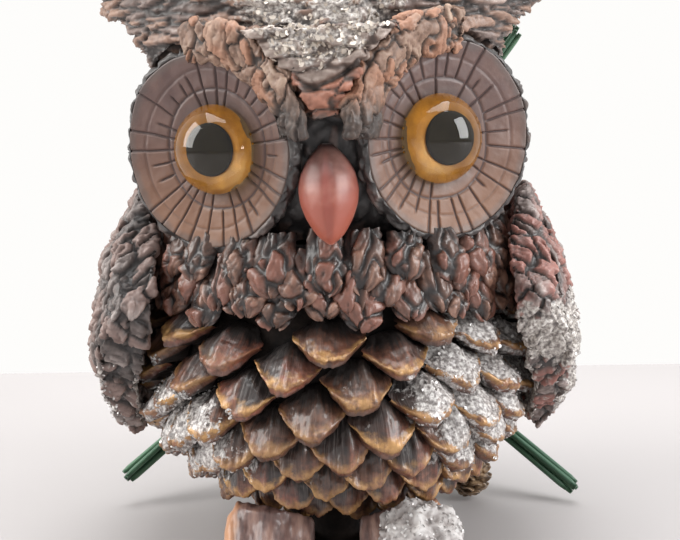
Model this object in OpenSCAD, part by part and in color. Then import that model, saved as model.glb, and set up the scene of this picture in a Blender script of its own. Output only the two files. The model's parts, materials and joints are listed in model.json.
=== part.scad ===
// Owl figurine: a squat pinecone body with drooping scales, bark head, wings and ruff,
// engraved eye discs with amber domes, a coral beak, two feet and a faux pine sprig behind.
// Millimetres, +Z up, the owl faces -Y, origin at the middle of the flat base.

/* [Cone body] */
// Radius over the scale tips at the widest height
body_r = 39.5; // [36:0.5:42]
// Height of the widest point above the base
body_mid_z = 34; // [30:1:38]
// From the widest point up to where the envelope would close
body_rise = 45; // [40:1:50]
// From the widest point down to where the envelope would close
body_drop = 29; // [26:1:32]
// Length of a scale from the core to its tip
scale_len = 8; // [6:0.5:9]
// How far a scale tip hangs below its root
scale_droop = 2.4; // [0:0.2:4]
// Surface area taken by one scale at mid height
scale_area_mid = 94; // [60:1:120]
// Surface area taken by one scale near the base
scale_area_low = 46; // [36:1:60]
// Turn of the whole scale spiral about the upright axis
spiral_phase = 26; // [0:1:137]

/* [Head] */
// Largest radius of the head core
head_r = 34; // [32:0.5:36]
// Sideways lean of the head
head_lean = -2; // [-5:0.5:5]
// Distance from the middle plane to an eye disc centre
disc_x = 21.3; // [19:0.1:23]
// Height of the eye disc centres
disc_z = 81; // [78:0.5:84]
// Radius of an eye disc
disc_r = 17.4; // [15:0.1:19]
// Outward turn of an eye disc
disc_turn = 30; // [20:1:38]
// Radius of the amber eye dome at its base
dome_r = 7.7; // [6:0.1:8]
// Height of the amber eye dome
dome_h = 5.8; // [4:0.1:7]
// Number of engraved rays on an eye disc
ray_count = 26; // [16:1:36]
// Half the span of the ear tufts
ear_span = 46.5; // [42:0.5:48]
// Height of the ear tips
ear_z = 113.5; // [108:0.5:118]

/* [Ruff] */
// Number of bark chips in one ring
chip_count = 27; // [20:1:32]
// Height of one bark chip
chip_h = 9.6; // [7:0.2:12]
// Height step from one ring of chips to the next
chip_step = 3.6; // [3:0.1:5]

/* [Wings] */
// Outer radius of the wings
wing_r = 49; // [45:0.5:51]
// Half the angle a wing covers around the body
wing_half = 36; // [28:1:42]
// Height of the wing shoulder
wing_top = 72; // [68:1:76]
// Height of the wing point
wing_low = 21.5; // [20:0.5:34]
// Number of upright bark plates on a wing
wing_plates = 7; // [5:1:9]

/* [Feet and sprig] */
// Distance from the middle plane to a foot centre
foot_x = 12.6; // [10:0.2:15]
// Radius of one toe
toe_r = 3.9; // [2.5:0.1:4.2]
// Radius of one faux pine needle
needle_r = 0.62; // [0.4:0.02:0.9]

/* [Hidden] */
$fn = 64;
eps = 0.05;
golden = 137.508;
spiral_count = 8;
t_top = 23;
t_low = -63;
root_sink = 0.7;
core_low_z = 7;
core_top_z = 54;
collar_r = 31;
collar_top_z = 63;
disc_y = -26;
disc_thick = 2.6;
rim_w = 1.5;
seat_r = disc_r + rim_w + 0.3;
seat_deep = 3;
brow_from = 80;
brow_sweep = 96;
brow_out = 22.6;
eye_in = 1.6;
iris_h = 0.5;
pupil_h = 0.6;
pupil_r = 3.3;
lean_z = 63;
crown_low_z = 92;
lens_half = 31;
lens_shift = 1;
plug_r = 10;
wing_wall = 5;
wing_plate_h = 1.7;
sprig_y = 45;
sprig_z = 38;
ear_from = 25;
seat_room = 16;
beak_at = [0, -34.6, 72];
beak_tilt = -7;
left_tip = [-47.2, 14.5, 6];
right_tip = [52.5, 11.5, 2.6];
upper_tip = [41, 27.5, 103.6];
strand_gap = 1.45;
mini_cone_at = [29.6, 16, 5.5];
mini_stem_tip = [26.4, 19.8, 11.8];
foot_snow_at = [foot_x + 2.4, -30.5, 9.4];
foot_snow_r = 6.8;
floor_cut = 100;

// Envelope of the cone: t is an angle, 0 at the widest height, positive above it.
function env_blend(t) = 0.5 + 0.5 * sin(max(-90, min(90, t * 4)));
function env_b(t) = body_drop + (body_rise - body_drop) * env_blend(t);
function env_r(t) = body_r * cos(t);
function env_z(t) = body_mid_z + env_b(t) * sin(t);
function env_mm(t) = norm([body_r * sin(t), env_b(t) * cos(t)]) * PI / 180;
function env_n(t) =
    let (a = cos(t) / body_r, c = sin(t) / env_b(t), len = norm([a, c]))
    [a / len, c / len];
// A point in the shell of scales: d is the depth below the envelope.
function shell_point(theta, t, d) =
    let (
        ts = t - scale_droop * (1 - d / scale_len) / env_mm(t),
        n = env_n(ts),
        r = env_r(ts) - d * n[0]
    )
    [r * cos(theta), r * sin(theta), env_z(ts) - d * n[1]];

function scale_area(t) =
    t >= 0 ? scale_area_mid : scale_area_mid + (scale_area_low - scale_area_mid) * t / t_low;
function scale_step(t) = scale_area(t) / (2 * PI * env_r(t)) / env_mm(t);
scale_t = [for (i = 0, t = t_top; t > t_low; i = i + 1, t = t - scale_step(t)) t];
function scale_theta(i) = spiral_phase + golden * i;
// Scales give way to the wing roots on both sides.
function under_wing(theta, t) = abs(cos(theta)) > cos(20) && env_z(t) > 36;

// Outline of a scale as [side, up, depth], then its keel.
rim = [[-1, -0.06, 3.4], [-0.52, 0.5, 4.2], [0, 1, 5.2], [0.52, 0.5, 4.2],
    [1, -0.06, 3.4], [0.5, -0.53, 2.9], [0, -1, 3.2], [-0.5, -0.53, 2.9]];
keel = [[-0.55, -0.08, 1.3], [0, -0.14, 0], [0.55, -0.08, 1.3]];
root = [for (p = rim) [p[0] * 0.86, p[1] * 0.8, scale_len + root_sink]];
scale_points = concat(root, rim, keel);
scale_faces = concat(
    [[0, 1, 2, 3, 4, 5, 6, 7]],
    [for (i = [0:7]) [i, i + 8, (i + 1) % 8]],
    [for (i = [0:7]) [(i + 1) % 8, i + 8, (i + 1) % 8 + 8]],
    [[8, 16, 9], [9, 16, 17], [9, 17, 10], [10, 17, 11], [11, 17, 18], [11, 18, 12]],
    [[12, 18, 13], [13, 18, 17], [13, 17, 14], [14, 17, 15], [15, 17, 16], [15, 16, 8]]);
// The root outline is closed by a fan of triangles about its first point.
root_fan = [for (i = [1:6]) [0, i + 1, i]];
solid_faces = concat(root_fan, [for (i = [1:len(scale_faces) - 1]) scale_faces[i]]);

module cone_scale(theta, t) {
    half_w = 0.66 * sqrt(scale_area(t)) / env_r(t) * 180 / PI;
    half_h = 0.56 * sqrt(scale_area(t)) / env_mm(t);
    polyhedron(
        [for (p = scale_points) shell_point(theta + p[0] * half_w, t + p[1] * half_h, p[2])],
        [for (f = solid_faces) [f[2], f[1], f[0]]]);
}

module core_form() {
    lower = [for (t = [-70:10:30]) [
        env_r(t) - scale_len * env_n(t)[0],
        env_z(t) - scale_len * env_n(t)[1]]];
    kept = [for (p = lower) if (p[1] > core_low_z + 1 && p[1] < core_top_z - 1) p];
    rotate_extrude()
        polygon(concat([[0, core_low_z], [plug_r, core_low_z]], kept,
            [[kept[len(kept) - 1][0] - 1.2, core_top_z], [0, core_top_z]]));
}

module envelope_form(gap = 0.2) {
    rotate_extrude()
        polygon(concat([[0, env_z(-88)]], [for (t = [-88:8:0]) [env_r(t) + gap, env_z(t)]],
            [[0, env_z(0)]]));
}

module spiral(k) {
    difference() {
        for (i = [k - 1:spiral_count:len(scale_t) - 1])
            if (!under_wing(scale_theta(i), scale_t[i]))
                cone_scale(scale_theta(i), scale_t[i]);
        core_form();
    }
}

module cone_core() {
    color("saddlebrown")
        core_form();
}

module base_plug() {
    color("dimgray")
        cylinder(h = core_low_z, r = plug_r);
}

// Bark chips hang in a tilted ring: [side, up, outward] around each chip.
module ruff_chip(theta, top_z) {
    half = 180 / chip_count * 0.92;
    front = [[-0.75, 0, 1.2], [0.75, 0, 1.2], [0.98, 0.45, 1.3], [0.6, 0.8, 1.2],
        [0, 1, 1.1], [-0.6, 0.8, 1.2], [-0.98, 0.45, 1.3]];
    back = [for (p = front) [p[0] * 0.94, p[1], 0]];
    ridge = [[0, 0.12, 2], [0.05, 0.62, 2.1]];
    pts = concat(back, front, ridge);
    n = len(front);
    sides = concat(
        [for (i = [0:n - 1]) [i, (i + 1) % n, i + n]],
        [for (i = [0:n - 1]) [(i + 1) % n, (i + 1) % n + n, i + n]]);
    cap = [for (i = [1:n - 2]) [0, i + 1, i]];
    face = [[7, 8, 14], [8, 9, 14], [9, 15, 14], [9, 10, 15], [10, 11, 15],
        [11, 12, 15], [12, 13, 15], [13, 14, 15], [13, 7, 14]];
    polyhedron(
        [for (p = pts)
            let (r = collar_r + 0.25 + 4.9 * p[1] + p[2], a = theta + p[0] * half)
            [r * cos(a), r * sin(a), top_z - chip_h * p[1]]],
        concat(cap, sides, face));
}

module ruff(row) {
    top_z = collar_top_z + 3.6 - row * chip_step;
    difference() {
        for (i = [0:chip_count - 1])
            ruff_chip((i + row / 2) * 360 / chip_count, top_z);
        both()
            wing_form(0.15);
        head_lean() {
            head_blank();
            both()
                face_clearance();
        }
    }
}

module neck_collar() {
    color("rosybrown")
        difference() {
            translate([0, 0, core_top_z])
                cylinder(h = collar_top_z - core_top_z, r = collar_r);
            head_lean()
                both()
                    face_clearance();
        }
}

// Both sides of the owl.
module both() {
    children();
    mirror([1, 0, 0])
        children();
}

module head_lean() {
    translate([0, 0, lean_z])
        rotate([0, head_lean, 0])
            translate([0, 0, -lean_z])
                children();
}

// Local frame of an eye disc: z runs out of the disc, x to the outside of the head.
module on_disc() {
    translate([disc_x, disc_y, disc_z])
        rotate([0, 0, disc_turn])
            rotate([90, 0, 0])
                children();
}

module face_clearance() {
    on_disc()
        translate([0, 0, -seat_deep])
            cylinder(h = seat_room, r = seat_r);
}

module head_blank() {
    translate([0, 1, 0])
        rotate_extrude()
            polygon([[0, lean_z + 0.9], [27, lean_z + 0.9], [30.5, 68], [33, 75], [head_r, 84],
                [33, 94], [29.5, 100.5], [21, 104.4], [0, 105.4]]);
}

module head_core() {
    color("saddlebrown")
        head_lean()
            difference() {
                head_blank();
                both()
                    face_clearance();
            }
}

module nape_bark() {
    color("rosybrown")
        head_lean()
            translate([0, 1, 0])
                for (i = [0:8])
                    rotate([0, 0, 10 + i * 18])
                        difference() {
                            rotate_extrude(angle = 16)
                                polygon([[32, 69 + i % 3], [35.2, 72 + i % 2 * 2], [36.2, 80],
                                    [35.4, 90 - i % 2 * 3], [32, 91 + i % 2]]);
                            head_ball();
                        }
}

module head_ball() {
    rotate_extrude()
        polygon([[0, 60], [27, 60], [30.6, 68], [33.1, 75], [head_r + 0.1, 84],
            [33.1, 94], [29.6, 101], [0, 101]]);
}

// Outline of the crown and ear tufts seen from the front, right half then left half.
module crown_outline() {
    right = [[3, 106.3], [13, 107], [27, 110.2], [40, ear_z], [44.6, ear_z - 1.4],
        [ear_span, ear_z - 6], [39.2, 104.2], [34.2, 99.4], [30.6, crown_low_z]];
    polygon(concat(right, [for (i = [len(right) - 1:-1:0]) [-right[i][0], right[i][1]]]));
}

module crown_lens() {
    lens_r = (pow(ear_span + 1, 2) + pow(lens_half, 2)) / (2 * lens_half);
    translate([0, lens_shift, 0])
        intersection() {
            translate([0, lens_r - lens_half])
                circle(r = lens_r, $fn = 96);
            translate([0, lens_half - lens_r])
                circle(r = lens_r, $fn = 96);
        }
}

// The forehead slopes back from above the eyes to the crown.
module forehead_slope() {
    translate([0, -16, crown_low_z + 1])
        cylinder(h = 12.6, r1 = 21.5, r2 = 14.5);
}

module crown_form() {
    difference() {
        union() {
            intersection() {
                translate([0, 60, 0])
                    rotate([90, 0, 0])
                        linear_extrude(120)
                            crown_outline();
                translate([0, 0, crown_low_z - 2])
                    linear_extrude(40)
                        crown_lens();
            }
            forehead_slope();
        }
        head_blank();
        both() {
            face_clearance();
            brow_room();
        }
        translate([0, 1, 0])
            rotate_extrude()
                polygon([[30, 60], [36.4, 60], [36.4, 92.3], [30, 92.3]]);
    }
}

module ear_split(side) {
    translate([side > 0 ? ear_from : -ear_from - 50, -60, 80])
        cube([50, 120, 50]);
}

module crown_bark() {
    color("rosybrown")
        head_lean()
            difference() {
                crown_form();
                ear_split(1);
                ear_split(-1);
                brow_zone();
            }
}

module crown_snow() {
    color("whitesmoke")
        head_lean()
            intersection() {
                difference() {
                    translate([0, 60, 1.2])
                        rotate([90, 0, 0])
                            linear_extrude(120)
                                crown_outline();
                    translate([0, 61, 0])
                        rotate([90, 0, 0])
                            linear_extrude(122)
                                crown_outline();
                }
                translate([0, -6, 100])
                    cylinder(h = 12, r = 20);
            }
}

module ear_tuft(side) {
    color("gray")
        head_lean()
            intersection() {
                crown_form();
                ear_split(side);
            }
}

module brow_zone() {
    translate([-14, -40, 84])
        cube([28, 18, 17]);
}

// Room for a brow over the inner upper edge of an eye disc.
module brow_room() {
    on_disc()
        rotate([0, 0, brow_from - 2])
            rotate_extrude(angle = brow_sweep + 4)
                polygon([[15, 0], [brow_out + 0.4, 0], [brow_out + 0.4, 7], [15, 7]]);
}

// A brow is a curved bark roll over the top of an eye disc.
module brow_form() {
    on_disc()
        rotate([0, 0, brow_from])
            rotate_extrude(angle = brow_sweep)
                polygon([[15.6, eps], [brow_out - 1.4, eps], [brow_out, 1.4], [brow_out - 0.8, 4.4],
                    [18.8, 5.2], [16, 3.6], [15.2, 1.6]]);
}

module brow(side) {
    color("peru")
        head_lean()
            mirror([side < 0 ? 1 : 0, 0, 0])
                difference() {
                    brow_form();
                    head_blank();
                    translate([-20, -60, 60])
                        cube([23.4, 60, 60]);
                }
}

module brow_centre() {
    color("sienna")
        head_lean()
            difference() {
                translate([0, -24, 0])
                    rotate([90, 0, 0])
                        linear_extrude(14.5)
                            polygon([[-13.6, 100.8], [13.6, 100.8], [10, 93], [6.4, 87.4], [3, 85.6],
                                [-3, 85.6], [-6.4, 87.4], [-10, 93]]);
                head_blank();
                both() {
                    face_clearance();
                    brow_room();
                }
            }
}

module disc_solid() {
    on_disc()
        difference() {
            translate([0, 0, -disc_thick])
                cylinder(h = disc_thick, r = disc_r);
            translate([-eye_in, 0, 0])
                rotate_extrude()
                    polygon([[9.6, -0.5], [10.4, -0.5], [10.6, 1], [9.4, 1]]);
            for (i = [0:ray_count - 1])
                translate([-eye_in, 0, 0])
                    rotate([0, 0, (i + 0.4 * sin(i * 97)) * 360 / ray_count])
                        translate([11.2 + 0.6 * sin(i * 53), -0.2, -0.45])
                            cube([6.6 + eye_in, 0.4, 1]);
        }
}

module disc(side) {
    color("tan")
        head_lean()
            mirror([side < 0 ? 1 : 0, 0, 0])
                disc_solid();
}

module disc_rim(side) {
    color("dimgray")
        head_lean()
            mirror([side < 0 ? 1 : 0, 0, 0])
                difference() {
                    on_disc()
                        translate([0, 0, -seat_deep + eps])
                            linear_extrude(seat_deep - 0.1)
                                difference() {
                                    polygon([for (a = [0:8:352])
                                        (disc_r + rim_w + 0.22 * sin(a * 7) - 0.1)
                                            * [cos(a), sin(a)]]);
                                    circle(r = disc_r + eps);
                                }
                    translate([-10, -60, 60])
                        cube([10.3, 60, 60]);
                }
}

module on_eye() {
    on_disc()
        translate([-eye_in, 0, 0])
            children();
}

module iris(side) {
    color("orange")
        head_lean()
            mirror([side < 0 ? 1 : 0, 0, 0])
                on_eye()
                    cylinder(h = iris_h, r = dome_r - 0.5);
}

module pupil(side) {
    color("black")
        head_lean()
            mirror([side < 0 ? 1 : 0, 0, 0])
                on_eye()
                    translate([0, 0, iris_h])
                        cylinder(h = pupil_h, r = pupil_r);
}

module eye_dome(side) {
    ball_r = (pow(dome_r, 2) + pow(dome_h, 2)) / (2 * dome_h);
    color("goldenrod")
        head_lean()
            mirror([side < 0 ? 1 : 0, 0, 0])
                on_eye()
                    difference() {
                        translate([0, 0, dome_h - ball_r])
                            sphere(r = ball_r);
                        translate([-10, -10, -20])
                            cube([20, 20, 20]);
                        translate([0, 0, -1])
                            cylinder(h = 1 + iris_h, r = dome_r - 0.5);
                        cylinder(h = iris_h + pupil_h, r = pupil_r);
                    }
}

module beak() {
    color("salmon")
        head_lean()
            difference() {
                translate(beak_at)
                    rotate([beak_tilt, 0, 0])
                        rotate_extrude()
                            polygon([[0, -9], [1.4, -7.8], [3.2, -4.2], [4.6, -0.4], [5.1, 2.6],
                                [4.8, 5.4], [3.8, 7.6], [2.2, 9], [0, 9.6]]);
                head_blank();
                both()
                    on_disc()
                        translate([0, 0, -seat_deep])
                            cylinder(h = seat_deep + eps, r = seat_r);
                ruff_space();
            }
}

// Room for the ruff under the beak.
module ruff_space() {
    rotate_extrude()
        polygon([[28, 40], [38.2, 40], [38.2, 58], [36, 64.6], [30, 66.8]]);
}

module wing_section(gap = 0) {
    polygon([
        [36.6 - gap, wing_top - 8], [37, wing_top - 2], [38.6 + gap, wing_top],
        [40.6 + gap, wing_top - 5], [wing_r - 4.8 + gap, 57], [wing_r - 1.7 + gap, 43],
        [wing_r - 3.4 + gap, 32], [wing_r - 8 + gap, wing_low], [39.4 - gap, wing_low + 3],
        [41 - gap, 34], [41.4 - gap, 44], [40.2 - gap, 56]]);
}

module leaf_outline() {
    polygon([[-9, wing_top + 2], [12, wing_top + 2], [22, 64], [27.5, 54], [27, 44],
        [20, 31.3], [9, wing_low - 1], [-2, wing_low - 1], [-11, 28.6], [-21, 40.4],
        [-27.5, 52], [-18, 63]]);
}

module leaf_prism() {
    rotate([90, 0, 90])
        linear_extrude(70)
            leaf_outline();
}

module wing_form(gap = 0) {
    intersection() {
        rotate([0, 0, -wing_half])
            rotate_extrude(angle = 2 * wing_half)
                wing_section(gap);
        leaf_prism();
    }
}

module wing_root() {
    translate([24, 0, 44.6])
        rotate([0, 90, 0])
            cylinder(h = 19, r = 4);
}

module wing(side) {
    color("gray")
        mirror([side < 0 ? 1 : 0, 0, 0]) {
            wing_form();
            difference() {
                wing_root();
                core_form();
            }
        }
}

// Upright bark plates on the outside of a wing.
module wing_bark(side) {
    pitch = 2 * wing_half / wing_plates;
    color("silver")
        mirror([side < 0 ? 1 : 0, 0, 0])
            intersection() {
                for (i = [0:wing_plates - 1])
                    rotate([0, 0, -wing_half + (i + 0.06) * pitch])
                        rotate_extrude(angle = pitch * 0.88)
                            polygon([
                                [40.6 + eps + i % 2 * 0.5, wing_top - 5 - i % 2],
                                [42, wing_top - 6 - i % 2],
                                [wing_r - 3.4, 58 + i % 2], [wing_r, 44 - i % 3],
                                [wing_r - 1.6, 33], [wing_r - 7.2, wing_low + 0.6],
                                [wing_r - 8 + eps, wing_low], [wing_r - 3.4 + eps, 32],
                                [wing_r - 1.7 + eps, 43], [wing_r - 4.8 + eps, 57]]);
                leaf_prism();
            }
}

// A toe slopes down and forward from under the cone.
module toe(side, top_z) {
    translate([side, -25 + abs(side) * 0.25, top_z])
        rotate([135, 0, side * 1.5]) {
            cylinder(h = 12, r = toe_r);
            translate([0, 0, 12])
                sphere(r = toe_r);
            sphere(r = toe_r);
        }
}

module foot_form() {
    difference() {
        translate([foot_x, 0, 0]) {
            toe(-4.3, 10.2);
            toe(0, 10.8);
            toe(4.3, 10.2);
            translate([-7.2, -30, 0])
                cube([14.4, 36, 3]);
            translate([0, -22, 0])
                cylinder(h = 14, r1 = 7.6, r2 = 6.4);
        }
        envelope_form();
        translate([0, 0, -1])
            cylinder(h = 20, r = plug_r + eps);
        translate([-floor_cut / 2, -floor_cut / 2, -10])
            cube([floor_cut, floor_cut, 10]);
    }
}

module foot(side) {
    color("rosybrown")
        mirror([side < 0 ? 1 : 0, 0, 0])
            foot_form();
}

module foot_snow() {
    color("white")
        difference() {
            translate(foot_snow_at)
                scale([1.12, 1, 1])
                    sphere(r = foot_snow_r);
            foot_form();
            envelope_form(0.3);
            translate([-floor_cut / 2, -floor_cut / 2, -1])
                cube([floor_cut, floor_cut, 10]);
        }
}

module needle(from, to, shift, cut) {
    run = to - from;
    len = norm(run);
    yaw = atan2(run[1], run[0]);
    tilt = acos(run[2] / len);
    translate(from)
        rotate([0, tilt, yaw])
            translate([shift[0], shift[1], 0])
                rotate([-shift[1] * 0.6, shift[0] * 0.6, 0]) {
                    cylinder(h = len - cut - 1, r = needle_r);
                    translate([0, 0, len - cut - 1])
                        cylinder(h = 1, r1 = needle_r, r2 = needle_r * 0.5);
                }
}

module bundle(from, to, strands) {
    color("darkgreen") {
        needle(from, to, [0, 0], 0);
        for (i = [0:strands - 1])
            needle(from, to, strand_gap * [cos(i * 360 / strands), sin(i * 360 / strands)], 0.6 + i % 3);
    }
}

module sprig_stem() {
    color("olive")
        translate([0, sprig_y + 0.4, sprig_z - 6])
            cylinder(h = 12, r = 1.9);
}

module needles_left() {
    bundle([-4, sprig_y + 0.4, sprig_z - 4], left_tip, 4);
}

module needles_right() {
    bundle([4, sprig_y + 0.4, sprig_z - 2], right_tip, 5);
}

module needles_upper() {
    bundle([1.5, sprig_y + 2, sprig_z + 8.2], upper_tip, 5);
}

module mini_cone_stem() {
    color("sienna")
        needle([3.2, sprig_y + 0.4, sprig_z - 8.6], mini_stem_tip, [0, 0], 0);
}

// The small cone is a stack of flared bract rings.
module mini_cone() {
    rings = [for (k = [0:4]) let (z = -3.6 + k * 1.85, r = 2.4 + 2.1 * sin(35 + k * 27))
        [[r * 0.62, z - 0.55], [r, z + 0.2], [r * 0.92, z + 0.6], [r * 0.6, z + 0.9]]];
    color("sienna")
        translate(mini_cone_at)
            rotate([0, 30, -52])
                rotate_extrude()
                    polygon(concat([[0, -5.1], [1, -4.9]], [for (ring = rings) for (p = ring) p],
                        [[0, 5.6]]));
}

cone_core();
base_plug();
color("sienna") spiral(1);  // scale_spiral_1
color("peru") spiral(2);  // scale_spiral_2
color("sienna") spiral(3);  // scale_spiral_3
color("peru") spiral(4);  // scale_spiral_4
color("sienna") spiral(5);  // scale_spiral_5
color("peru") spiral(6);  // scale_spiral_6
color("sienna") spiral(7);  // scale_spiral_7
color("peru") spiral(8);  // scale_spiral_8
neck_collar();
color("rosybrown") ruff(0);  // ruff_upper
color("sienna") ruff(1);  // ruff_middle
color("rosybrown") ruff(2);  // ruff_lower
head_core();
nape_bark();
crown_bark();
crown_snow();
ear_tuft(-1);  // ear_tuft_left
ear_tuft(1);  // ear_tuft_right
brow(-1);  // brow_left
brow(1);  // brow_right
brow_centre();
disc(-1);  // disc_left
disc(1);  // disc_right
disc_rim(-1);  // disc_rim_left
disc_rim(1);  // disc_rim_right
iris(-1);  // iris_left
iris(1);  // iris_right
pupil(-1);  // pupil_left
pupil(1);  // pupil_right
eye_dome(-1);  // eye_dome_left
eye_dome(1);  // eye_dome_right
beak();
wing(-1);  // wing_left
wing(1);  // wing_right
wing_bark(-1);  // wing_bark_left
wing_bark(1);  // wing_bark_right
foot(-1);  // foot_left
foot(1);  // foot_right
foot_snow();
sprig_stem();
needles_left();
needles_right();
needles_upper();
mini_cone_stem();
mini_cone();
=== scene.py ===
import bpy, bmesh, json, math
import numpy as np
from mathutils import Vector, Matrix

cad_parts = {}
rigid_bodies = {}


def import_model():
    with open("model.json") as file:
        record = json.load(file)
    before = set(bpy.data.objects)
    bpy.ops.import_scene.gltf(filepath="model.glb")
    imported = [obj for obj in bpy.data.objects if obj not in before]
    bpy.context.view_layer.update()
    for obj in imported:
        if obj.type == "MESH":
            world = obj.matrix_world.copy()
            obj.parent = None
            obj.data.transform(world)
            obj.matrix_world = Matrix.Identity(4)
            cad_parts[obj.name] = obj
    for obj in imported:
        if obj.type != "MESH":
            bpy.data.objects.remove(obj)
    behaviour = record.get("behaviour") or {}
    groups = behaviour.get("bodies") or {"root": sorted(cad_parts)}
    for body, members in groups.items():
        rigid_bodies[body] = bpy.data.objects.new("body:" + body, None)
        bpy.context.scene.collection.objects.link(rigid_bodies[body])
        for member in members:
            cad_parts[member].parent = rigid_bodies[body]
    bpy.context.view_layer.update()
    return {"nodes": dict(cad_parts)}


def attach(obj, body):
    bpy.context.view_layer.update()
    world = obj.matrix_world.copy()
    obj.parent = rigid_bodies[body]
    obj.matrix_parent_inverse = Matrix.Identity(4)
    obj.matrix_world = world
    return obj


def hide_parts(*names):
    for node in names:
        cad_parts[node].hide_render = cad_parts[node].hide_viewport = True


# Looks of the owl figurine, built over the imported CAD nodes. Sizes are in mm unless they go to Blender,
# the owl faces -Y, and "left" and "right" are the viewer's.
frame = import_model()
NODES = frame["nodes"]
MM = 0.001

# ---- noise
def hash01(ix, iy, iz, seed):
    n = (ix * 374761393 + iy * 668265263 + iz * 1440662683 + seed * 1274126177) & 0xFFFFFFFF
    n = ((n ^ (n >> 13)) * 1274126177) & 0xFFFFFFFF
    n = ((n ^ (n >> 15)) * 668265263) & 0xFFFFFFFF
    return ((n ^ (n >> 16)) & 0xFFFFFF) / 16777215.0

def vnoise(p, seed=0):
    i = np.floor(p).astype(np.int64)
    f = p - i
    f = f * f * (3 - 2 * f)
    out = 0
    for dx in (0, 1):
        wx = f[:, 0] if dx else 1 - f[:, 0]
        for dy in (0, 1):
            wy = f[:, 1] if dy else 1 - f[:, 1]
            for dz in (0, 1):
                wz = f[:, 2] if dz else 1 - f[:, 2]
                out = out + wx * wy * wz * hash01(i[:, 0] + dx, i[:, 1] + dy, i[:, 2] + dz, seed)
    return out * 2 - 1

def fbm(p, octaves=4, seed=0, gain=0.5):
    out, amp, total = 0, 1.0, 0
    for k in range(octaves):
        out = out + amp * vnoise(p * 2.03 ** k + 17.3 * k, seed + k)
        total += amp
        amp *= gain
    return out / total

def worley(p, seed=0, jitter=0.92):
    """Distances to the two nearest cell points, the near one's random number, the vector from it."""
    i = np.floor(p).astype(np.int64)
    f1 = np.full(len(p), 9.0)
    f2 = np.full(len(p), 9.0)
    rnd = np.zeros(len(p))
    vec = np.zeros_like(p)
    for dx in (-1, 0, 1):
        for dy in (-1, 0, 1):
            for dz in (-1, 0, 1):
                c = i + (dx, dy, dz)
                h = [hash01(c[:, 0], c[:, 1], c[:, 2], seed + k) for k in (1, 2, 3, 4)]
                d = p - (c + 0.5 + jitter * (np.stack(h[:3], 1) - 0.5))
                r = np.sqrt((d * d).sum(1))
                near = r < f1
                f2 = np.where(near, f1, np.minimum(f2, r))
                rnd = np.where(near, h[3], rnd)
                vec = np.where(near[:, None], d, vec)
                f1 = np.where(near, r, f1)
    return f1, f2, rnd, vec

def on_grid(noise, x, y, z, *args):
    """A noise at a grid of points: x and y are grids, z is one number."""
    p = np.stack([x.ravel(), y.ravel(), np.full(x.size, z)], 1)
    return noise(p, *args).reshape(x.shape)

def smooth(a, b, x):
    t = np.clip((x - a) / (b - a), 0, 1)
    return t * t * (3 - 2 * t)

def plates(q, seed, sharp=0.3, warp=0.35, hang=0.0):
    """Bark plates: height 0 to 1 and a random number per plate. q has cells of size 1."""
    w = np.stack([fbm(q * 1.3 + 5 * k, 3, seed + 31 * k) for k in range(3)], 1)
    qq = q + warp * w
    f1, f2, rnd, vec = worley(qq, seed)
    e = smooth(0.0, sharp, f2 - f1)
    g1, g2 = worley(qq * 2.3 + 3.1, seed + 50)[:2]
    e2 = smooth(0.0, sharp * 1.3, g2 - g1)
    h = e * (0.5 + 0.3 * rnd - hang * vec[:, 2]) * (0.72 + 0.28 * e2)
    h = h + 0.22 * fbm(q * 4.0, 3, seed + 9) * (0.3 + 0.7 * e)
    return np.clip(h, 0, 1.1), rnd

# ---- mesh helpers
def make(name, verts, faces, mat, nodes=(), attrs=None, uv=None, flat=False):
    """A piece from vertices in mm. attrs are one number per vertex, uv two."""
    me = bpy.data.meshes.new(name)
    me.from_pydata((np.asarray(verts) * MM).tolist(), [], [list(map(int, f)) for f in faces])
    me.validate()
    for key, val in (attrs or {}).items():
        a = me.attributes.new(key, "FLOAT", "POINT")
        a.data.foreach_set("value", np.asarray(val, dtype=np.float32))
    if uv is not None:
        layer = me.uv_layers.new(name="UVMap")
        idx = np.empty(len(me.loops), dtype=np.int32)
        me.loops.foreach_get("vertex_index", idx)
        layer.data.foreach_set("uv", np.asarray(uv, dtype=np.float32)[idx].ravel())
    if not flat:
        me.polygons.foreach_set("use_smooth", [True] * len(me.polygons))
    me.materials.append(mat)
    ob = bpy.data.objects.new(name, me)
    bpy.context.scene.collection.objects.link(ob)
    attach(ob, "root")
    if nodes:
        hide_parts(*nodes)
    return ob

def grid_faces(nu, nv, wrap=False, base=0):
    """Quads of a grid with nu columns and nv rows, wrapped across the columns if asked."""
    out = []
    cols = nu if wrap else nu - 1
    for j in range(nv - 1):
        for i in range(cols):
            a = base + j * nu + i
            b = base + j * nu + (i + 1) % nu
            out.append((a, b, b + nu, a + nu))
    return out

def outward(V, F):
    """Faces of a closed mesh, turned round if they point inward."""
    V = np.asarray(V, float)
    total = 0.0
    for f in F:
        a = V[f[0]]
        for b, c in zip(f[1:-1], f[2:]):
            total += np.dot(a, np.cross(V[b], V[c]))
    return [list(f)[::-1] for f in F] if total < 0 else F

def vert_arrays(me):
    v = np.empty(len(me.vertices) * 3)
    me.vertices.foreach_get("co", v)
    n = np.empty(len(me.vertices) * 3)
    me.vertex_normals.foreach_get("vector", n)
    return v.reshape(-1, 3), n.reshape(-1, 3)

def face_lists(me):
    return [list(p.vertices) for p in me.polygons]

def normals_of(verts, faces):
    me = bpy.data.meshes.new("tmp")
    me.from_pydata(np.asarray(verts).tolist(), [], [list(map(int, f)) for f in faces])
    n = np.empty(len(me.vertices) * 3)
    me.vertex_normals.foreach_get("vector", n)
    bpy.data.meshes.remove(me)
    return n.reshape(-1, 3)

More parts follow.
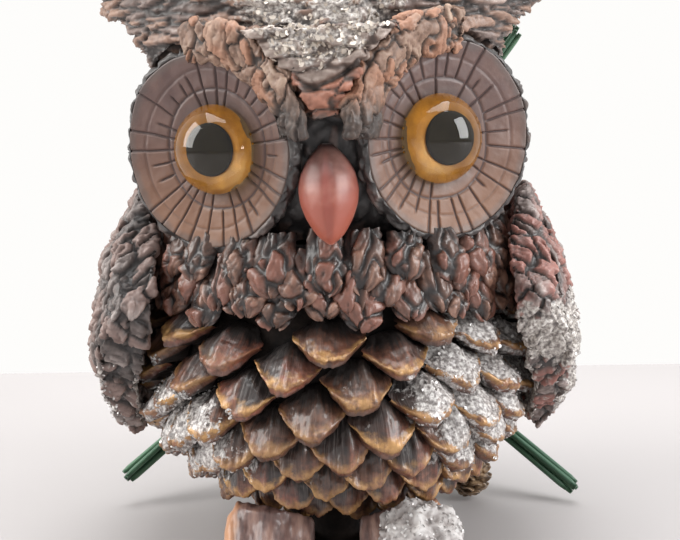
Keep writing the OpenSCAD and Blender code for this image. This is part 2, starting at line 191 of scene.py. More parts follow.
def remeshed(nodes, voxel=0.5, relax=8):
    """The CAD nodes as one even closed mesh in mm: vertices, faces, normals."""
    allv, allf = [], []
    for n in nodes:
        me = NODES[n].data
        v = np.empty(len(me.vertices) * 3)
        me.vertices.foreach_get("co", v)
        base = sum(len(x) for x in allv)
        allv.append(v.reshape(-1, 3) / MM)
        allf += [[base + k for k in p.vertices] for p in me.polygons]
    me = bpy.data.meshes.new("tmp")
    me.from_pydata(np.vstack(allv).tolist(), [], allf)
    bm = bmesh.new()
    bm.from_mesh(me)
    bmesh.ops.remove_doubles(bm, verts=bm.verts, dist=0.002)
    bm.to_mesh(me)
    bm.free()
    ob = bpy.data.objects.new("tmp", me)
    bpy.context.scene.collection.objects.link(ob)
    mod = ob.modifiers.new("r", "REMESH")
    mod.mode = "VOXEL"
    mod.voxel_size = voxel
    if relax:
        sm = ob.modifiers.new("s", "SMOOTH")
        sm.factor = 0.6
        sm.iterations = relax
    deps = bpy.context.evaluated_depsgraph_get()
    out = bpy.data.meshes.new_from_object(ob.evaluated_get(deps))
    v, n = vert_arrays(out)
    f = face_lists(out)
    bpy.data.objects.remove(ob)
    bpy.data.meshes.remove(me)
    bpy.data.meshes.remove(out)
    return v, f, n

# ---- shader helpers
class Mat:
    """A small builder of node materials."""
    def __init__(self, name, rough=0.5, spec=0.5, coat=0.0, coat_rough=0.2):
        self.m = bpy.data.materials.new(name)
        self.m.use_nodes = True
        self.nt = self.m.node_tree
        self.nt.nodes.clear()
        self.out = self.nt.nodes.new("ShaderNodeOutputMaterial")
        self.b = self.nt.nodes.new("ShaderNodeBsdfPrincipled")
        self.nt.links.new(self.b.outputs[0], self.out.inputs[0])
        self.set("Roughness", rough)
        self.set("Specular IOR Level", spec)
        self.set("Coat Weight", coat)
        self.set("Coat Roughness", coat_rough)
        self.co = self.nt.nodes.new("ShaderNodeTexCoord").outputs["Object"]

    def set(self, name, value):
        self.fill(self.b.inputs[name], value)

    def node(self, kind, **props):
        n = self.nt.nodes.new("ShaderNode" + kind)
        for k, v in props.items():
            setattr(n, k, v)
        return n

    def attr(self, name):
        n = self.node("Attribute", attribute_name=name)
        return n.outputs["Fac"]

    def fill(self, sock, value):
        if hasattr(value, "is_output"):
            self.nt.links.new(value, sock)
        elif isinstance(value, tuple) and len(value) == 3 and sock.type == "RGBA":
            sock.default_value = (*value, 1)
        else:
            sock.default_value = value

    def math(self, op, a, b=0.0, c=None, clamp=False):
        n = self.node("Math", operation=op, use_clamp=clamp)
        self.fill(n.inputs[0], a)
        self.fill(n.inputs[1], b)
        if c is not None:
            self.fill(n.inputs[2], c)
        return n.outputs[0]

    def mix(self, fac, a, b, blend="MIX"):
        n = self.node("Mix", data_type="RGBA", blend_type=blend)
        self.fill(n.inputs[0], fac)
        self.fill(n.inputs[6], a)
        self.fill(n.inputs[7], b)
        return n.outputs[2]

    def ramp(self, fac, stops, interp="LINEAR"):
        n = self.node("ValToRGB")
        n.color_ramp.interpolation = interp
        el = n.color_ramp.elements
        while len(el) < len(stops):
            el.new(0.5)
        for e, (p, c) in zip(el, stops):
            e.position = p
            e.color = (*c, 1) if isinstance(c, tuple) else (c, c, c, 1)
        self.fill(n.inputs[0], fac)
        return n.outputs[0]

    def scaled(self, sx, sy=None, sz=None, src=None):
        n = self.node("Mapping")
        n.inputs["Scale"].default_value = (sx, sx if sy is None else sy, sx if sz is None else sz)
        self.nt.links.new(src or self.co, n.inputs[0])
        return n.outputs[0]

    def noise(self, scale, detail=3.0, vec=None, rough=0.5, dist=0.0):
        n = self.node("TexNoise")
        self.fill(n.inputs["Scale"], scale)
        n.inputs["Detail"].default_value = detail
        n.inputs["Roughness"].default_value = rough
        n.inputs["Distortion"].default_value = dist
        self.nt.links.new(vec or self.co, n.inputs["Vector"])
        return n.outputs[0]

    def jitter(self, base, noise, amount, clamp=False):
        """base, moved up and down by a noise."""
        move = self.math("MULTIPLY", self.math("SUBTRACT", noise, 0.5), amount)
        return self.math("ADD", base, move, clamp=clamp)

    def bump(self, height, strength=0.4, dist=0.0002):
        n = self.node("Bump")
        n.inputs["Strength"].default_value = strength
        n.inputs["Distance"].default_value = dist
        self.nt.links.new(height, n.inputs["Height"])
        if self.b.inputs["Normal"].is_linked:
            self.nt.links.new(self.b.inputs["Normal"].links[0].from_socket, n.inputs["Normal"])
        self.nt.links.new(n.outputs[0], self.b.inputs["Normal"])
        return n.outputs[0]

    def color(self, sock):
        self.fill(self.b.inputs["Base Color"], sock)

BLACK = (0.024, 0.020, 0.020)
CREAM_CRUST = [(0.35, (0.16, 0.14, 0.135)), (0.5, (0.42, 0.38, 0.35)), (0.68, (0.80, 0.77, 0.73))]
GREY_CRUST = [(0.34, (0.16, 0.145, 0.14)), (0.48, (0.38, 0.355, 0.345)), (0.62, (0.74, 0.72, 0.70))]

def bark_material(name, dark, mid, high, alt, rough=0.5, coat=0.25, snow=True):
    """Bark paint: dark in the cracks, lighter on the plates, some plates tinted, snow where it lies."""
    m = Mat(name, rough=rough, coat=coat, coat_rough=0.25)
    height = m.jitter(m.attr("h"), m.noise(900.0, 4.0), 0.35, clamp=True)
    low = tuple(0.55 * a + 0.45 * b for a, b in zip(dark, mid))
    bright = tuple(min(1, 1.35 * x) for x in alt)
    base = m.ramp(height, [(0.06, dark), (0.24, low), (0.48, mid), (0.85, high)])
    tint = m.ramp(height, [(0.06, dark), (0.26, low), (0.55, alt), (0.95, bright)])
    pick = m.ramp(m.jitter(m.attr("c"), m.noise(170.0, 2.0), 0.9), [(0.42, 0.0), (0.62, 1.0)])
    col = m.mix(pick, base, tint)
    if snow:
        gate = m.ramp(m.jitter(m.attr("snow"), m.noise(700.0, 4.0), 1.1), [(0.42, 0.0), (0.6, 1.0)])
        col = m.mix(gate, col, m.ramp(m.noise(1500.0, 3.0), CREAM_CRUST))
    m.color(col)
    m.set("Roughness", m.ramp(m.noise(420.0, 2.0), [(0.3, rough - 0.14), (0.7, rough + 0.16)]))
    m.bump(m.noise(2400.0, 4.0, rough=0.6), 0.5, 0.00018)
    m.bump(m.noise(650.0, 3.0), 0.35, 0.0004)
    return m.m

# ---- frames shared with the CAD
LEAN = math.radians(-2)
LEAN_Z = 63
DISC = np.array([21.3, -26.0, 81.0])
TURN = math.radians(30)
DISC_R = 17.4
EYE_IN = 1.6
EAR_FROM = 25
FOOT_X = 12.6
SPRIG_Y = 45.4

def lean(p):
    p = np.asarray(p, float)
    x, z = p[..., 0], p[..., 2] - LEAN_Z
    c, s = math.cos(LEAN), math.sin(LEAN)
    return np.stack([x * c + z * s, p[..., 1], LEAN_Z - x * s + z * c], -1)

def on_disc(lx, ly, lz, side):
    """Points in an eye disc's own frame (x outward, y up, z out of the face) to the row frame."""
    x, y, z = lx, -lz, ly
    X = x * math.cos(TURN) - y * math.sin(TURN) + DISC[0]
    Y = x * math.sin(TURN) + y * math.cos(TURN) + DISC[1]
    return lean(np.stack([side * X, Y, z + DISC[2]], -1))

def off_disc(p, side):
    """The reverse of on_disc: local x, y, z of points in the row frame."""
    x, z = p[:, 0], p[:, 2] - LEAN_Z
    X = (x * math.cos(LEAN) - z * math.sin(LEAN)) * side - DISC[0]
    Z = LEAN_Z + x * math.sin(LEAN) + z * math.cos(LEAN)
    Y = p[:, 1] - DISC[1]
    return X * math.cos(TURN) + Y * math.sin(TURN), Z - DISC[2], X * math.sin(TURN) - Y * math.cos(TURN)

SIDES = ((-1, "left"), (1, "right"))

def flip(faces, side):
    return [f[::-1] for f in faces] if side < 0 else faces

def azimuth(v):
    """Angle round the owl in degrees, 0 at the front, positive on the viewer's right."""
    return np.degrees(np.arctan2(v[:, 0], -v[:, 1]))

def snow_mask(v):
    """Where the snow crust lies on the low left and low right of the body, 0 to 1."""
    az = azimuth(v)
    z = v[:, 2]
    n = fbm(v * 0.16, 3, 77)
    left = 0.94 - np.hypot((az + 58) / 36, (z - 27) / 13.5)
    right = 1.16 - np.hypot((az - 60) / 38, (z - 36) / 15.5)
    return smooth(-0.12, 0.34, np.maximum(left, right) + 0.35 * n)

# ---- cone scales
BODY_R, MID_Z, RISE, DROP, SCALE_LEN = 39.5, 34.0, 45.0, 29.0, 8.0
AREA_MID, AREA_LOW, PHASE, GOLDEN = 94.0, 46.0, 26.0, 137.508
T_TOP, T_LOW = 23.0, -63.0

def env_b(t):
    return DROP + (RISE - DROP) * (0.5 + 0.5 * math.sin(math.radians(max(-90, min(90, t * 4)))))

def env(t):
    """Radius, height, outward normal and downward tangent of the cone's envelope."""
    r = math.radians(t)
    b = env_b(t)
    n = np.array([math.cos(r) / BODY_R, math.sin(r) / b])
    n /= np.linalg.norm(n)
    d = np.array([BODY_R * math.sin(r), -b * math.cos(r)])
    mm = np.linalg.norm(d) * math.pi / 180
    return BODY_R * math.cos(r), MID_Z + b * math.sin(r), n, d / np.linalg.norm(d), mm

def area(t):
    return AREA_MID if t >= 0 else AREA_MID + (AREA_LOW - AREA_MID) * t / T_LOW

def lattice():
    t, i = T_TOP, 0
    while t > T_LOW:
        r, _, _, _, mm = env(t)
        yield i, PHASE + GOLDEN * i, t
        t -= area(t) / (2 * math.pi * r) / mm
        i += 1

NU, NQ_TOP, NQ_LIP, NQ_LOW = 41, 24, 8, 5

def scale_mesh(i, theta, t, rng):
    r, z, n, d, _ = env(t)
    a = math.radians(theta)
    er = np.array([math.cos(a), math.sin(a), 0])
    et = np.array([-math.sin(a), math.cos(a), 0])
    ez = np.array([0, 0, 1.0])
    nn = n[0] * er + n[1] * ez
    dn = d[0] * er + d[1] * ez
    p0 = r * er + z * ez - SCALE_LEN * nn
    od = nn * 0.7 + er * 0.3
    od /= np.linalg.norm(od)
    size = math.sqrt(area(t) / AREA_MID)
    W = 6.25 * size * (1 + 0.06 * rng.uniform(-1, 1))
    L = SCALE_LEN + 0.2 + 0.5 * rng.uniform(-1, 1)
    D = 2.6 * size + 0.4 * rng.uniform(-1, 1)
    back = 4.2 * size
    u0 = rng.uniform(-0.45, 0.45)
    skew = rng.uniform(-0.5, 0.5)
    ridge = rng.uniform(1.3, 2.3) * size
    lipped = rng.uniform(1.1, 1.9) * size
    u = np.linspace(-1, 1, NU)
    au = np.abs(u)
    pt = 0.5 * rng.uniform(0.4, 1.2)
    E = L * (1 - 0.55 * au ** 2.3) - 0.9 * np.abs(u - u0) * pt
    Dr = D - 3.3 * size * au ** 2.1 + skew * u - 1.1 * pt * np.abs(u - u0) + 0.6
    chip = vnoise(np.stack([u * 4.5, np.full(NU, i * 1.7), np.zeros(NU)], 1), 41)
    chip2 = vnoise(np.stack([u * 9.5, np.full(NU, i * 2.3), np.zeros(NU)], 1), 42)
    E = E + 0.35 * chip + 0.16 * chip2
    Dr = Dr + 0.40 * vnoise(np.stack([u * 3.5, np.full(NU, i * 3.1), np.zeros(NU)], 1), 43) + 0.15 * chip2
    rows = []
    q = []
    facet = np.maximum(0, 1 - 1.15 * np.abs(u - u0))
    for k in range(NQ_TOP):
        s = k / (NQ_TOP - 1)
        o = 0.2 + (E - 0.2) * s ** 0.92
        dd = -back * (1 - 0.35 * au ** 2) + (Dr + back * (1 - 0.35 * au ** 2)) * s ** 1.12
        bulge = ridge * facet * math.sin(math.pi * min(1, s * 0.95) ** 0.8)
        lift = bulge - 0.55 * math.sin(math.pi * s) * (1 - facet)
        rows.append(((o + lift * 0.62), (dd - lift * 0.78), 0.62 + 0.38 * smooth(0, 0.75, s)))
        q.append(0.55 * s)
    lip_h = lipped * (1 - au ** 2.2) + 0.35
    for k in range(1, NQ_LIP + 1):
        s = k / NQ_LIP
        o = E + 0.32 * math.sin(math.pi * min(1, s * 2.2)) - s * (0.9 + 0.9 * au)
        dd = Dr + lip_h * s
        rows.append((o, dd, 1.0 - 0.05 * s))
        q.append(0.55 + 0.25 * s)
    o1, d1 = rows[-1][0], rows[-1][1]
    for k in range(1, NQ_LOW + 1):
        s = k / NQ_LOW
        rows.append((o1 + (0.8 - o1) * s, d1 - 1.2 * s, 0.95 - 0.3 * s))
        q.append(0.8 + 0.2 * s)
    O = np.array([x[0] for x in rows])
    Dd = np.array([x[1] for x in rows])
    Wk = np.array([np.full(NU, x[2]) for x in rows])
    X = u[None, :] * W * Wk
    P = p0 + O[..., None] * od + Dd[..., None] * dn + X[..., None] * et
    P = P.reshape(-1, 3)
    Q = np.repeat(np.array(q), NU)
    U = np.tile(u, len(rows))
    faces = grid_faces(NU, len(rows))
    nrm = normals_of(P, faces)
    if (nrm[NU * (NQ_TOP - 3) + NU // 2] @ od) < 0:
        faces = [f[::-1] for f in faces]
        nrm = -nrm
    lowf = fbm(P * 0.45, 3, 5)
    fine = fbm(P * 1.9, 3, 15)
    top = smooth(0.02, 0.12, Q) * (1 - smooth(0.56, 0.6, Q))
    wander = 0.25 * vnoise(np.stack([Q * 6, U * 0, U * 0 + i], 1), 3)
    groove = vnoise(np.stack([U * 9 + wander, Q * 1.1, np.full(len(Q), i * 3.7)], 1), 8)
    P = P + nrm * (0.42 * lowf + 0.17 * fine + 0.20 * groove * top)[:, None]
    rim = np.exp(-((Q - 0.565) / 0.045) ** 2)
    P = P + nrm * (0.16 * rim * (0.5 + fine))[:, None]
    return P, faces, Q, U, u0

def build_scales(mat):
    rng = np.random.default_rng(21)
    groups = {k: [] for k in range(1, 9)}
    for i, theta, t in lattice():
        P, F, Q, U, u0 = scale_mesh(i, theta, t, rng)
        hue = rng.random()
        darkside = rng.choice([-1, 1])
        gold = np.clip(rng.normal(0.75, 0.25), 0.1, 1.2)
        groups[i % 8 + 1].append((P, F, Q, U, u0, hue, darkside, gold, theta, t))
    for k, items in groups.items():
        V, Fa, at = [], [], {key: [] for key in ("q", "hue", "dark", "gold", "sn")}
        UV = []
        base = 0
        for n, (P, F, Q, U, u0, hue, ds, gold, theta, t) in enumerate(items):
            V.append(P)
            Fa += [[base + x for x in f] for f in F]
            base += len(P)
            at["q"].append(Q)
            at["hue"].append(np.full(len(P), hue))
            at["dark"].append(smooth(0.0, 0.12, ds * (U - u0)))
            at["gold"].append(np.full(len(P), gold))
            up = 1 - smooth(0.62, 0.8, Q)
            at["sn"].append(snow_mask(P) * (0.55 + 0.45 * up))
            UV.append(np.stack([U * 0.5 + n * 1.7 + k * 31, Q], 1))
        V = np.vstack(V)
        attrs = {a: np.concatenate(x) for a, x in at.items()}
        lump = attrs["sn"] * (0.5 + 0.9 * fbm(V * 1.1, 4, 91)) * smooth(-0.1, 0.35, fbm(V * 0.5, 3, 92))
        V = V + normals_of(V, Fa) * (0.38 * lump)[:, None]
        make("scale_spiral_%d_painted" % k, V, Fa, mat, ["scale_spiral_%d" % k], attrs,
            uv=np.vstack(UV))

def scale_material():
    m = Mat("painted_cone_scale", rough=0.40, coat=0.5, coat_rough=0.14)
    uv = m.node("UVMap", uv_map="UVMap").outputs[0]
    q, hue = m.attr("q"), m.attr("hue")
    streak = m.noise(1.0, 3.0, vec=m.scaled(26.0, 3.0, 1.0, uv), rough=0.6)
    # brown paint, nearly black toward the root: partly black paint, partly painted shade in the pocket under
    # the scale above
    brown = m.mix(m.ramp(hue, [(0.2, 0.0), (0.8, 1.0)]), (0.145, 0.056, 0.028), (0.225, 0.072, 0.044))
    brown = m.mix(m.ramp(m.noise(260.0, 3.0), [(0.45, 0.0), (0.68, 0.6)]), brown, (0.28, 0.140, 0.095))
    brown = m.mix(m.ramp(m.noise(900.0, 3.0), [(0.40, 0.55), (0.58, 0.0)]), brown, (0.035, 0.018, 0.014))
    lit = m.ramp(m.jitter(m.math("MULTIPLY", q, 1.82), streak, 0.85), [(0.38, 0.0), (0.90, 1.0)])
    col = m.mix(lit, (0.028, 0.023, 0.022), brown)
    # one side of the keel is sooty black paint with dark and pale streaks; the pale streaks are painted
    # highlights
    soot = m.ramp(m.math("ADD", hue, m.math("MULTIPLY", streak, 0.7)), [(0.55, 0.1), (0.95, 0.9)])
    sooty = m.math("MULTIPLY", m.attr("dark"), soot, clamp=True)
    sooty = m.math("MULTIPLY", sooty, m.ramp(q, [(0.50, 1.0), (0.56, 0.0)]), clamp=True)
    streaks_and_sheen = m.ramp(m.noise(1.0, 2.0, vec=m.scaled(60.0, 2.0, 1.0, uv)),
        [(0.46, (0.020, 0.018, 0.018)), (0.60, (0.060, 0.052, 0.050)), (0.72, (0.22, 0.20, 0.19))])
    col = m.mix(sooty, col, streaks_and_sheen)
    # worn gilt along the rim, and painted shade below the lip
    edge = m.jitter(q, m.noise(420.0, 4.0, rough=0.6), 0.26)
    edge = m.ramp(edge, [(0.44, 0.0), (0.53, 1.0), (0.61, 1.0), (0.70, 0.0)])
    worn = m.ramp(m.noise(330.0, 4.0, rough=0.65), [(0.38, 0.10), (0.54, 1.0)])
    gilded = m.math("MULTIPLY", edge, m.math("MULTIPLY", m.attr("gold"), worn), clamp=True)
    gilt = m.mix(m.noise(1400.0, 2.0), (0.33, 0.160, 0.055), (0.64, 0.385, 0.155))
    col = m.mix(gilded, col, gilt)
    # painted shade: the underside of the scale below the lip is near black
    col = m.mix(m.ramp(q, [(0.70, 0.0), (0.84, 1.0)]), col, (0.038, 0.030, 0.028))
    # snow crust, thin on the rim
    thin = m.ramp(q, [(0.46, 1.0), (0.56, 0.45), (0.64, 0.45), (0.72, 1.0)])
    snow = m.math("MULTIPLY", m.math("MULTIPLY", m.attr("sn"), thin), 0.80)
    gate = m.ramp(m.jitter(snow, m.noise(420.0, 5.0, rough=0.7), 1.9), [(0.41, 0.0), (0.54, 0.92)])
    m.color(m.mix(gate, col, m.ramp(m.noise(1500.0, 3.0), GREY_CRUST)))
    m.set("Roughness", m.ramp(m.noise(500.0, 2.0), [(0.3, 0.30), (0.7, 0.52)]))
    m.set("Metallic", m.math("MULTIPLY", gilded, 0.35))
    m.bump(m.noise(1.0, 3.0, vec=m.scaled(44.0, 3.0, 1.0, uv), rough=0.6), 0.45, 0.0005)
    m.bump(m.noise(2200.0, 3.0), 0.3, 0.00018)
    return m.m

# ---- ruff chips
def build_ruff(mat):
    rng = np.random.default_rng(5)
    nu, nv = 27, 38
    count, chip_h, step, collar_top, collar_r = 27, 9.6, 3.6, 63.0, 31.0
    for row, node in enumerate(("ruff_upper", "ruff_middle", "ruff_lower")):
        top_z = collar_top + 3.6 - row * step
        V, F, H, C, SN = [], [], [], [], []
        base = 0
        for i in range(count):
            theta = (i + row / 2 + 0.16 * rng.uniform(-1, 1)) * 360 / count
            az = (theta + 90 + 180) % 360 - 180
            if row == 0 and 14 < abs(az) < 62:
                top = top_z - 0.6
            else:
                top = top_z
            half = 180 / count * rng.uniform(0.88, 1.12)
            if row < 2:
                hang = rng.uniform(-0.6, 2.2)
            else:
                hang = rng.uniform(-2.2, 0.6) + 1.8 * smooth(20, 60, abs(az))
            hh = (chip_h + hang) - (top_z - top)
            u = np.linspace(-1, 1, nu)
            v = np.linspace(0, 1, nv)
            Ug, Vg = np.meshgrid(u, v)
            skew = rng.uniform(-0.25, 0.25)
            tail = np.clip(1 - (np.maximum(Vg - 0.5, 0) / 0.52) ** 2.6, 0.02, 1) ** 0.6
            width = np.where(Vg < 0.5, 0.72 + 0.28 * np.sin(np.pi * Vg), tail)
            jag = 1 + 0.07 * on_grid(vnoise, Vg * 5, np.sign(Ug), i + 50 * row, 3)
            A = np.radians(theta + half * (Ug * width * jag + skew * Vg))
            dome = (1 - Ug ** 2) ** 0.5
            thick = 2.5 * dome * (0.8 + 0.2 * np.sin(np.pi * Vg)) * np.clip(1.08 - Vg ** 6, 0, 1) - 1.3
            R = collar_r + 0.9 + 5.0 * Vg + (1.2 * (1 - Vg) if row == 0 else 0) + thick
            R = R + 0.4 * rng.uniform(-1, 1)
            Z = top - hh * Vg
            P = np.stack([R * np.cos(A), R * np.sin(A), Z], -1).reshape(-1, 3)
            faces = grid_faces(nu, nv)
            n = normals_of(P, faces)
            if n[len(n) // 2] @ np.append(P[len(P) // 2][:2], 0) < 0:
                faces = [f[::-1] for f in faces]
                n = -n
            q = np.stack([Ug.ravel() * 1.1 + i * 5.1, np.full(Ug.size, row * 3.3), Vg.ravel() * 1.6], 1)
            q = q + 0.22 * np.stack([vnoise(q * 2 + 7 * m, 90 + m) for m in range(3)], 1)
            f1, f2, c, vec = worley(q, 60 + row)
            g1, g2 = worley(q * 2.4 + 9, 66)[:2]
            slant = 0.35 * vec[:, 2] - 0.25 * (c - 0.5) * vec[:, 0]
            h = smooth(0.0, 0.22, f2 - f1) * (0.55 + 0.3 * c - slant)
            h = h * (0.72 + 0.28 * smooth(0.0, 0.25, g2 - g1)) + 0.2 * fbm(q * 4.2, 3, 64)
            h = np.clip(h, 0, 1.1)
            rimd = np.clip(dome.ravel() * 1.6, 0, 1)
            P = P + n * ((h - 0.4) * 1.5 * (0.4 + 0.6 * rimd))[:, None]
            V.append(P)
            F += [[base + x for x in f] for f in faces]
            base += len(P)
            # the paint height drops toward each chip's sides and toward its top, where it tucks under the
            # row above: painted shade between and under the chips
            H.append(h * (0.25 + 0.75 * rimd) * (0.35 + 0.65 * smooth(0.05, 0.45, Vg.ravel())))
            C.append(c * 0.6 + 0.4 * rng.random())
            side_az = np.full(Ug.size, az)
            SN.append(smooth(34, 52, side_az) * (1 - smooth(66, 80, side_az)) * 0.22)
        attrs = {"h": np.concatenate(H), "c": np.concatenate(C), "snow": np.concatenate(SN)}
        make(node + "_chips", np.vstack(V), F, mat, [node], attrs)

# ---- bark skins
def bark_skin(name, nodes, mat, cell, amp, seed, voxel=0.5, relax=8, hang=0.2, sharp=0.3,
        coords=None, extra_h=None, snow=None, rough_amp=0.35, warp=0.35, ragged=0.0,
        shape=None, tint=None, mould=None, cut=()):
    """A CAD solid remeshed evenly and broken into bark plates.

    cell is the size of a plate in mm and amp its height. mould bends the mesh first, shape adds relief,
    tint and extra_h change the attributes that the paint reads, and cut shares the faces out over
    several pieces, each given as a name, its node and a test on the face centres.
    """
    v, f, n = remeshed(nodes, voxel, relax)
    if mould is not None:
        v = mould(v)
        n = normals_of(v, f)
    q = coords(v) if coords else v
    q = q / np.array(cell)
    h, c = plates(q, seed, sharp=sharp, hang=hang, warp=warp)
    d = (h - 0.5) * amp + rough_amp * fbm(v * 0.22, 3, seed + 3)
    if shape is not None:
        d = d + shape(v)
    if tint is not None:
        c = tint(v, c)
    v2 = v + n * d[:, None]
    if ragged:
        under = (1 - smooth(92.5, 97, v[:, 2])) * smooth(-8, -18, v[:, 1])
        front = (1 - smooth(101.0, 104.0, v[:, 2])) * smooth(-20, -26, v[:, 1])
        front = front * (1 - smooth(12, 16, np.abs(v[:, 0])))
        under = np.maximum(under, front)
        v2[:, 2] -= ragged * under * (0.45 + 0.9 * fbm(v * np.array([0.32, 0.32, 0.05]), 3, seed + 8))
    if extra_h is not None:
        h = extra_h(v, h, n)
    attrs = {"h": h, "c": c}
    if snow:
        attrs["snow"] = snow(v, n)
    if not cut:
        return make(name, v2, f, mat, nodes, attrs)
    out = []
    mid = np.array([v[g].mean(0) for g in f])
    left = np.ones(len(f), bool)
    for piece, node, test in cut:
        mine = left & test(mid)
        left &= ~mine
        faces = [f[i] for i in np.flatnonzero(mine)]
        used = np.unique(np.concatenate(faces))
        index = np.zeros(len(v), int)
        index[used] = np.arange(len(used))
        part = {k: a[used] for k, a in attrs.items()}
        out.append(make(piece, v2[used], [index[g] for g in faces], mat, [node], part))
    return out

def around(v):
    """Arc length round the upright axis, radius, height."""
    r = np.hypot(v[:, 0], v[:, 1])
    return np.stack([np.arctan2(v[:, 1], v[:, 0]) * 44, r, v[:, 2]], 1)

# ---- eye discs, rims and eyes
def disc_outline(a, side):
    wave = on_grid(fbm, np.cos(a) * 1.7, np.sin(a) * 1.7, side * 4.0, 3, 12)
    return DISC_R * (1 + 0.022 * wave * 1.6)

def dish(rr):
    return -1.3 + 2.0 * np.clip(rr, 0, 1.05) ** 1.7

def build_disc(side, word, mat):
    rng = np.random.default_rng(40 + side)
    na, nr = 720, 64
    a = np.linspace(0, 2 * np.pi, na, endpoint=False)
    s = np.linspace(0.0, 1.0, nr) ** 0.9
    A, S = np.meshgrid(a, s)
    R = S * disc_outline(A, side)
    lx, ly = R * np.cos(A), R * np.sin(A)
    ex = lx + EYE_IN
    re = np.hypot(ex, ly)
    ang = np.arctan2(ly, ex)
    lz = dish(R / DISC_R)
    line = np.zeros_like(R)
    rays = 31
    spots = [(k + 0.22 * rng.uniform(-1, 1)) * 2 * np.pi / rays for k in range(rays)]
    for k, p in enumerate(spots):
        d = (ang - p + np.pi) % (2 * np.pi) - np.pi
        wob = 0.14 * on_grid(vnoise, re * 0.35, np.full_like(re, k * 3.1), 0.0, 6)
        dist = np.abs(d * re + wob)
        start = 7.0 if rng.random() < 0.55 else 10.9
        end = 30 if rng.random() < 0.7 else rng.uniform(13.5, 15.5)
        w = rng.uniform(0.16, 0.25)
        gate = smooth(start - 0.3, start + 0.2, re) * (1 - smooth(end - 1.2, end, re))
        line = np.maximum(line, np.exp(-(dist / w) ** 2) * gate)
    ring = 10.7 + 0.45 * on_grid(vnoise, np.cos(ang) * 1.6, np.sin(ang) * 1.6, side + 9.0, 2)
    line = np.maximum(line, np.exp(-((re - ring) / 0.21) ** 2))
    outer = DISC_R - 3.4 + 0.5 * on_grid(vnoise, np.cos(ang) * 1.3, np.sin(ang) * 1.3, side + 19.0, 2)
    line = np.maximum(line, 0.45 * np.exp(-((R - outer) / 0.2) ** 2))
    soft = 0.16 * on_grid(fbm, lx * 0.28, ly * 0.28, side * 2.0, 3, 33)
    lz = lz - 0.34 * line + soft - 1.0 * smooth(0.985, 1.0, S) * 0.5
    front = on_disc(lx, ly, lz, side).reshape(-1, 3)
    ro = disc_outline(a, side)
    rim = on_disc(ro * np.cos(a), ro * np.sin(a), np.full(na, -2.5), side)
    V = np.vstack([front, rim])
    F = grid_faces(na, nr, True) + grid_faces(na, 2, True, (nr - 1) * na)
    F.append(list(range(nr * na, (nr + 1) * na))[::-1])
    edge = np.append(smooth(0.80, 0.99, S).ravel(), np.ones(na))
    # painted shade round the eye dome, darkest next to it
    eye_shade = np.append((1 - smooth(7.0, 11.5, re)).ravel(), np.zeros(na))
    warm = np.append(smooth(-0.5, 1.0, (-ly / DISC_R)).ravel(), np.zeros(na))
    attrs = {"line": np.append(line.ravel(), np.zeros(na)), "edge": edge, "eye_shade": eye_shade, "warm": warm}
    make("disc_%s_engraved" % word, V, outward(V, F), mat, ["disc_" + word], attrs)

def disc_material():
    m = Mat("engraved_disc_paint", rough=0.5, coat=0.18, coat_rough=0.3)
    n = m.noise(240.0, 4.0)
    base = m.mix(m.ramp(n, [(0.35, 0.0), (0.65, 1.0)]), (0.092, 0.050, 0.045), (0.134, 0.075, 0.062))
    base = m.mix(m.math("MULTIPLY", m.attr("warm"), 0.95), base, (0.205, 0.094, 0.047))
    # painted shade round the eye dome
    base = m.mix(m.ramp(m.attr("eye_shade"), [(0.0, 0.0), (1.0, 0.72)]), base, (0.060, 0.038, 0.036))
    grey = m.ramp(m.jitter(m.attr("edge"), m.noise(380.0, 3.0), 0.7), [(0.55, 0.0), (1.0, 0.6)])
    base = m.mix(grey, base, (0.09, 0.075, 0.070))
    base = m.mix(m.ramp(m.attr("line"), [(0.15, 0.0), (0.75, 0.92)]), base, (0.050, 0.026, 0.024))
    m.color(base)
    m.set("Roughness", m.ramp(m.noise(300.0, 2.0), [(0.3, 0.42), (0.7, 0.62)]))
    m.bump(m.noise(1800.0, 3.0), 0.22, 0.00015)
    m.bump(m.noise(330.0, 3.0), 0.25, 0.0004)
    return m.m

def build_rim(side, word, mat):
    na = 620
    prof = [(-0.15, -2.4), (-0.1, 0.1), (0.1, 0.45), (0.5, 0.5), (0.95, 0.1), (1.25, -0.8),
        (1.2, -1.8), (0.8, -2.9), (0.1, -3.0)]
    prof = np.array(prof)
    k = np.linspace(0, len(prof) - 1, 30)
    prof = np.stack([np.interp(k, range(len(prof)), prof[:, j]) for j in (0, 1)], 1)
    a = np.linspace(0, 2 * np.pi, na, endpoint=False)
    ro = disc_outline(a, side)
    R = ro[None, :] + prof[:, 0][:, None]
    Z = np.repeat(prof[:, 1][:, None], na, 1) + (dish(1.0) - 0.45)
    A = np.repeat(a[None, :], len(prof), 0)
    along = np.stack([A.ravel() * 17 / 4.6, np.full(A.size, side * 7.0), Z.ravel() / 3.0], 1)
    nz = plates(along, 71, sharp=0.35)
    h = nz[0]
    up = smooth(-0.3, 0.6, prof[:, 0])[:, None] * np.ones((1, na))
    R = R + (h.reshape(R.shape) - 0.55) * 1.1 * up
    Z = Z + (h.reshape(R.shape) - 0.5) * 0.5 * up
    V = on_disc(R * np.cos(A), R * np.sin(A), Z, side).reshape(-1, 3)
    inner = V[:, 0] * side < 0.6
    V[inner, 0] = side * 0.6
    F = grid_faces(na, len(prof), True)
    last = (len(prof) - 1) * na
    F += [(last + i, last + (i + 1) % na, (i + 1) % na, i) for i in range(na)]
    make("disc_rim_%s_bark" % word, V, outward(V, F), mat, ["disc_rim_" + word], {"h": h * 0.75, "c": nz[1]})

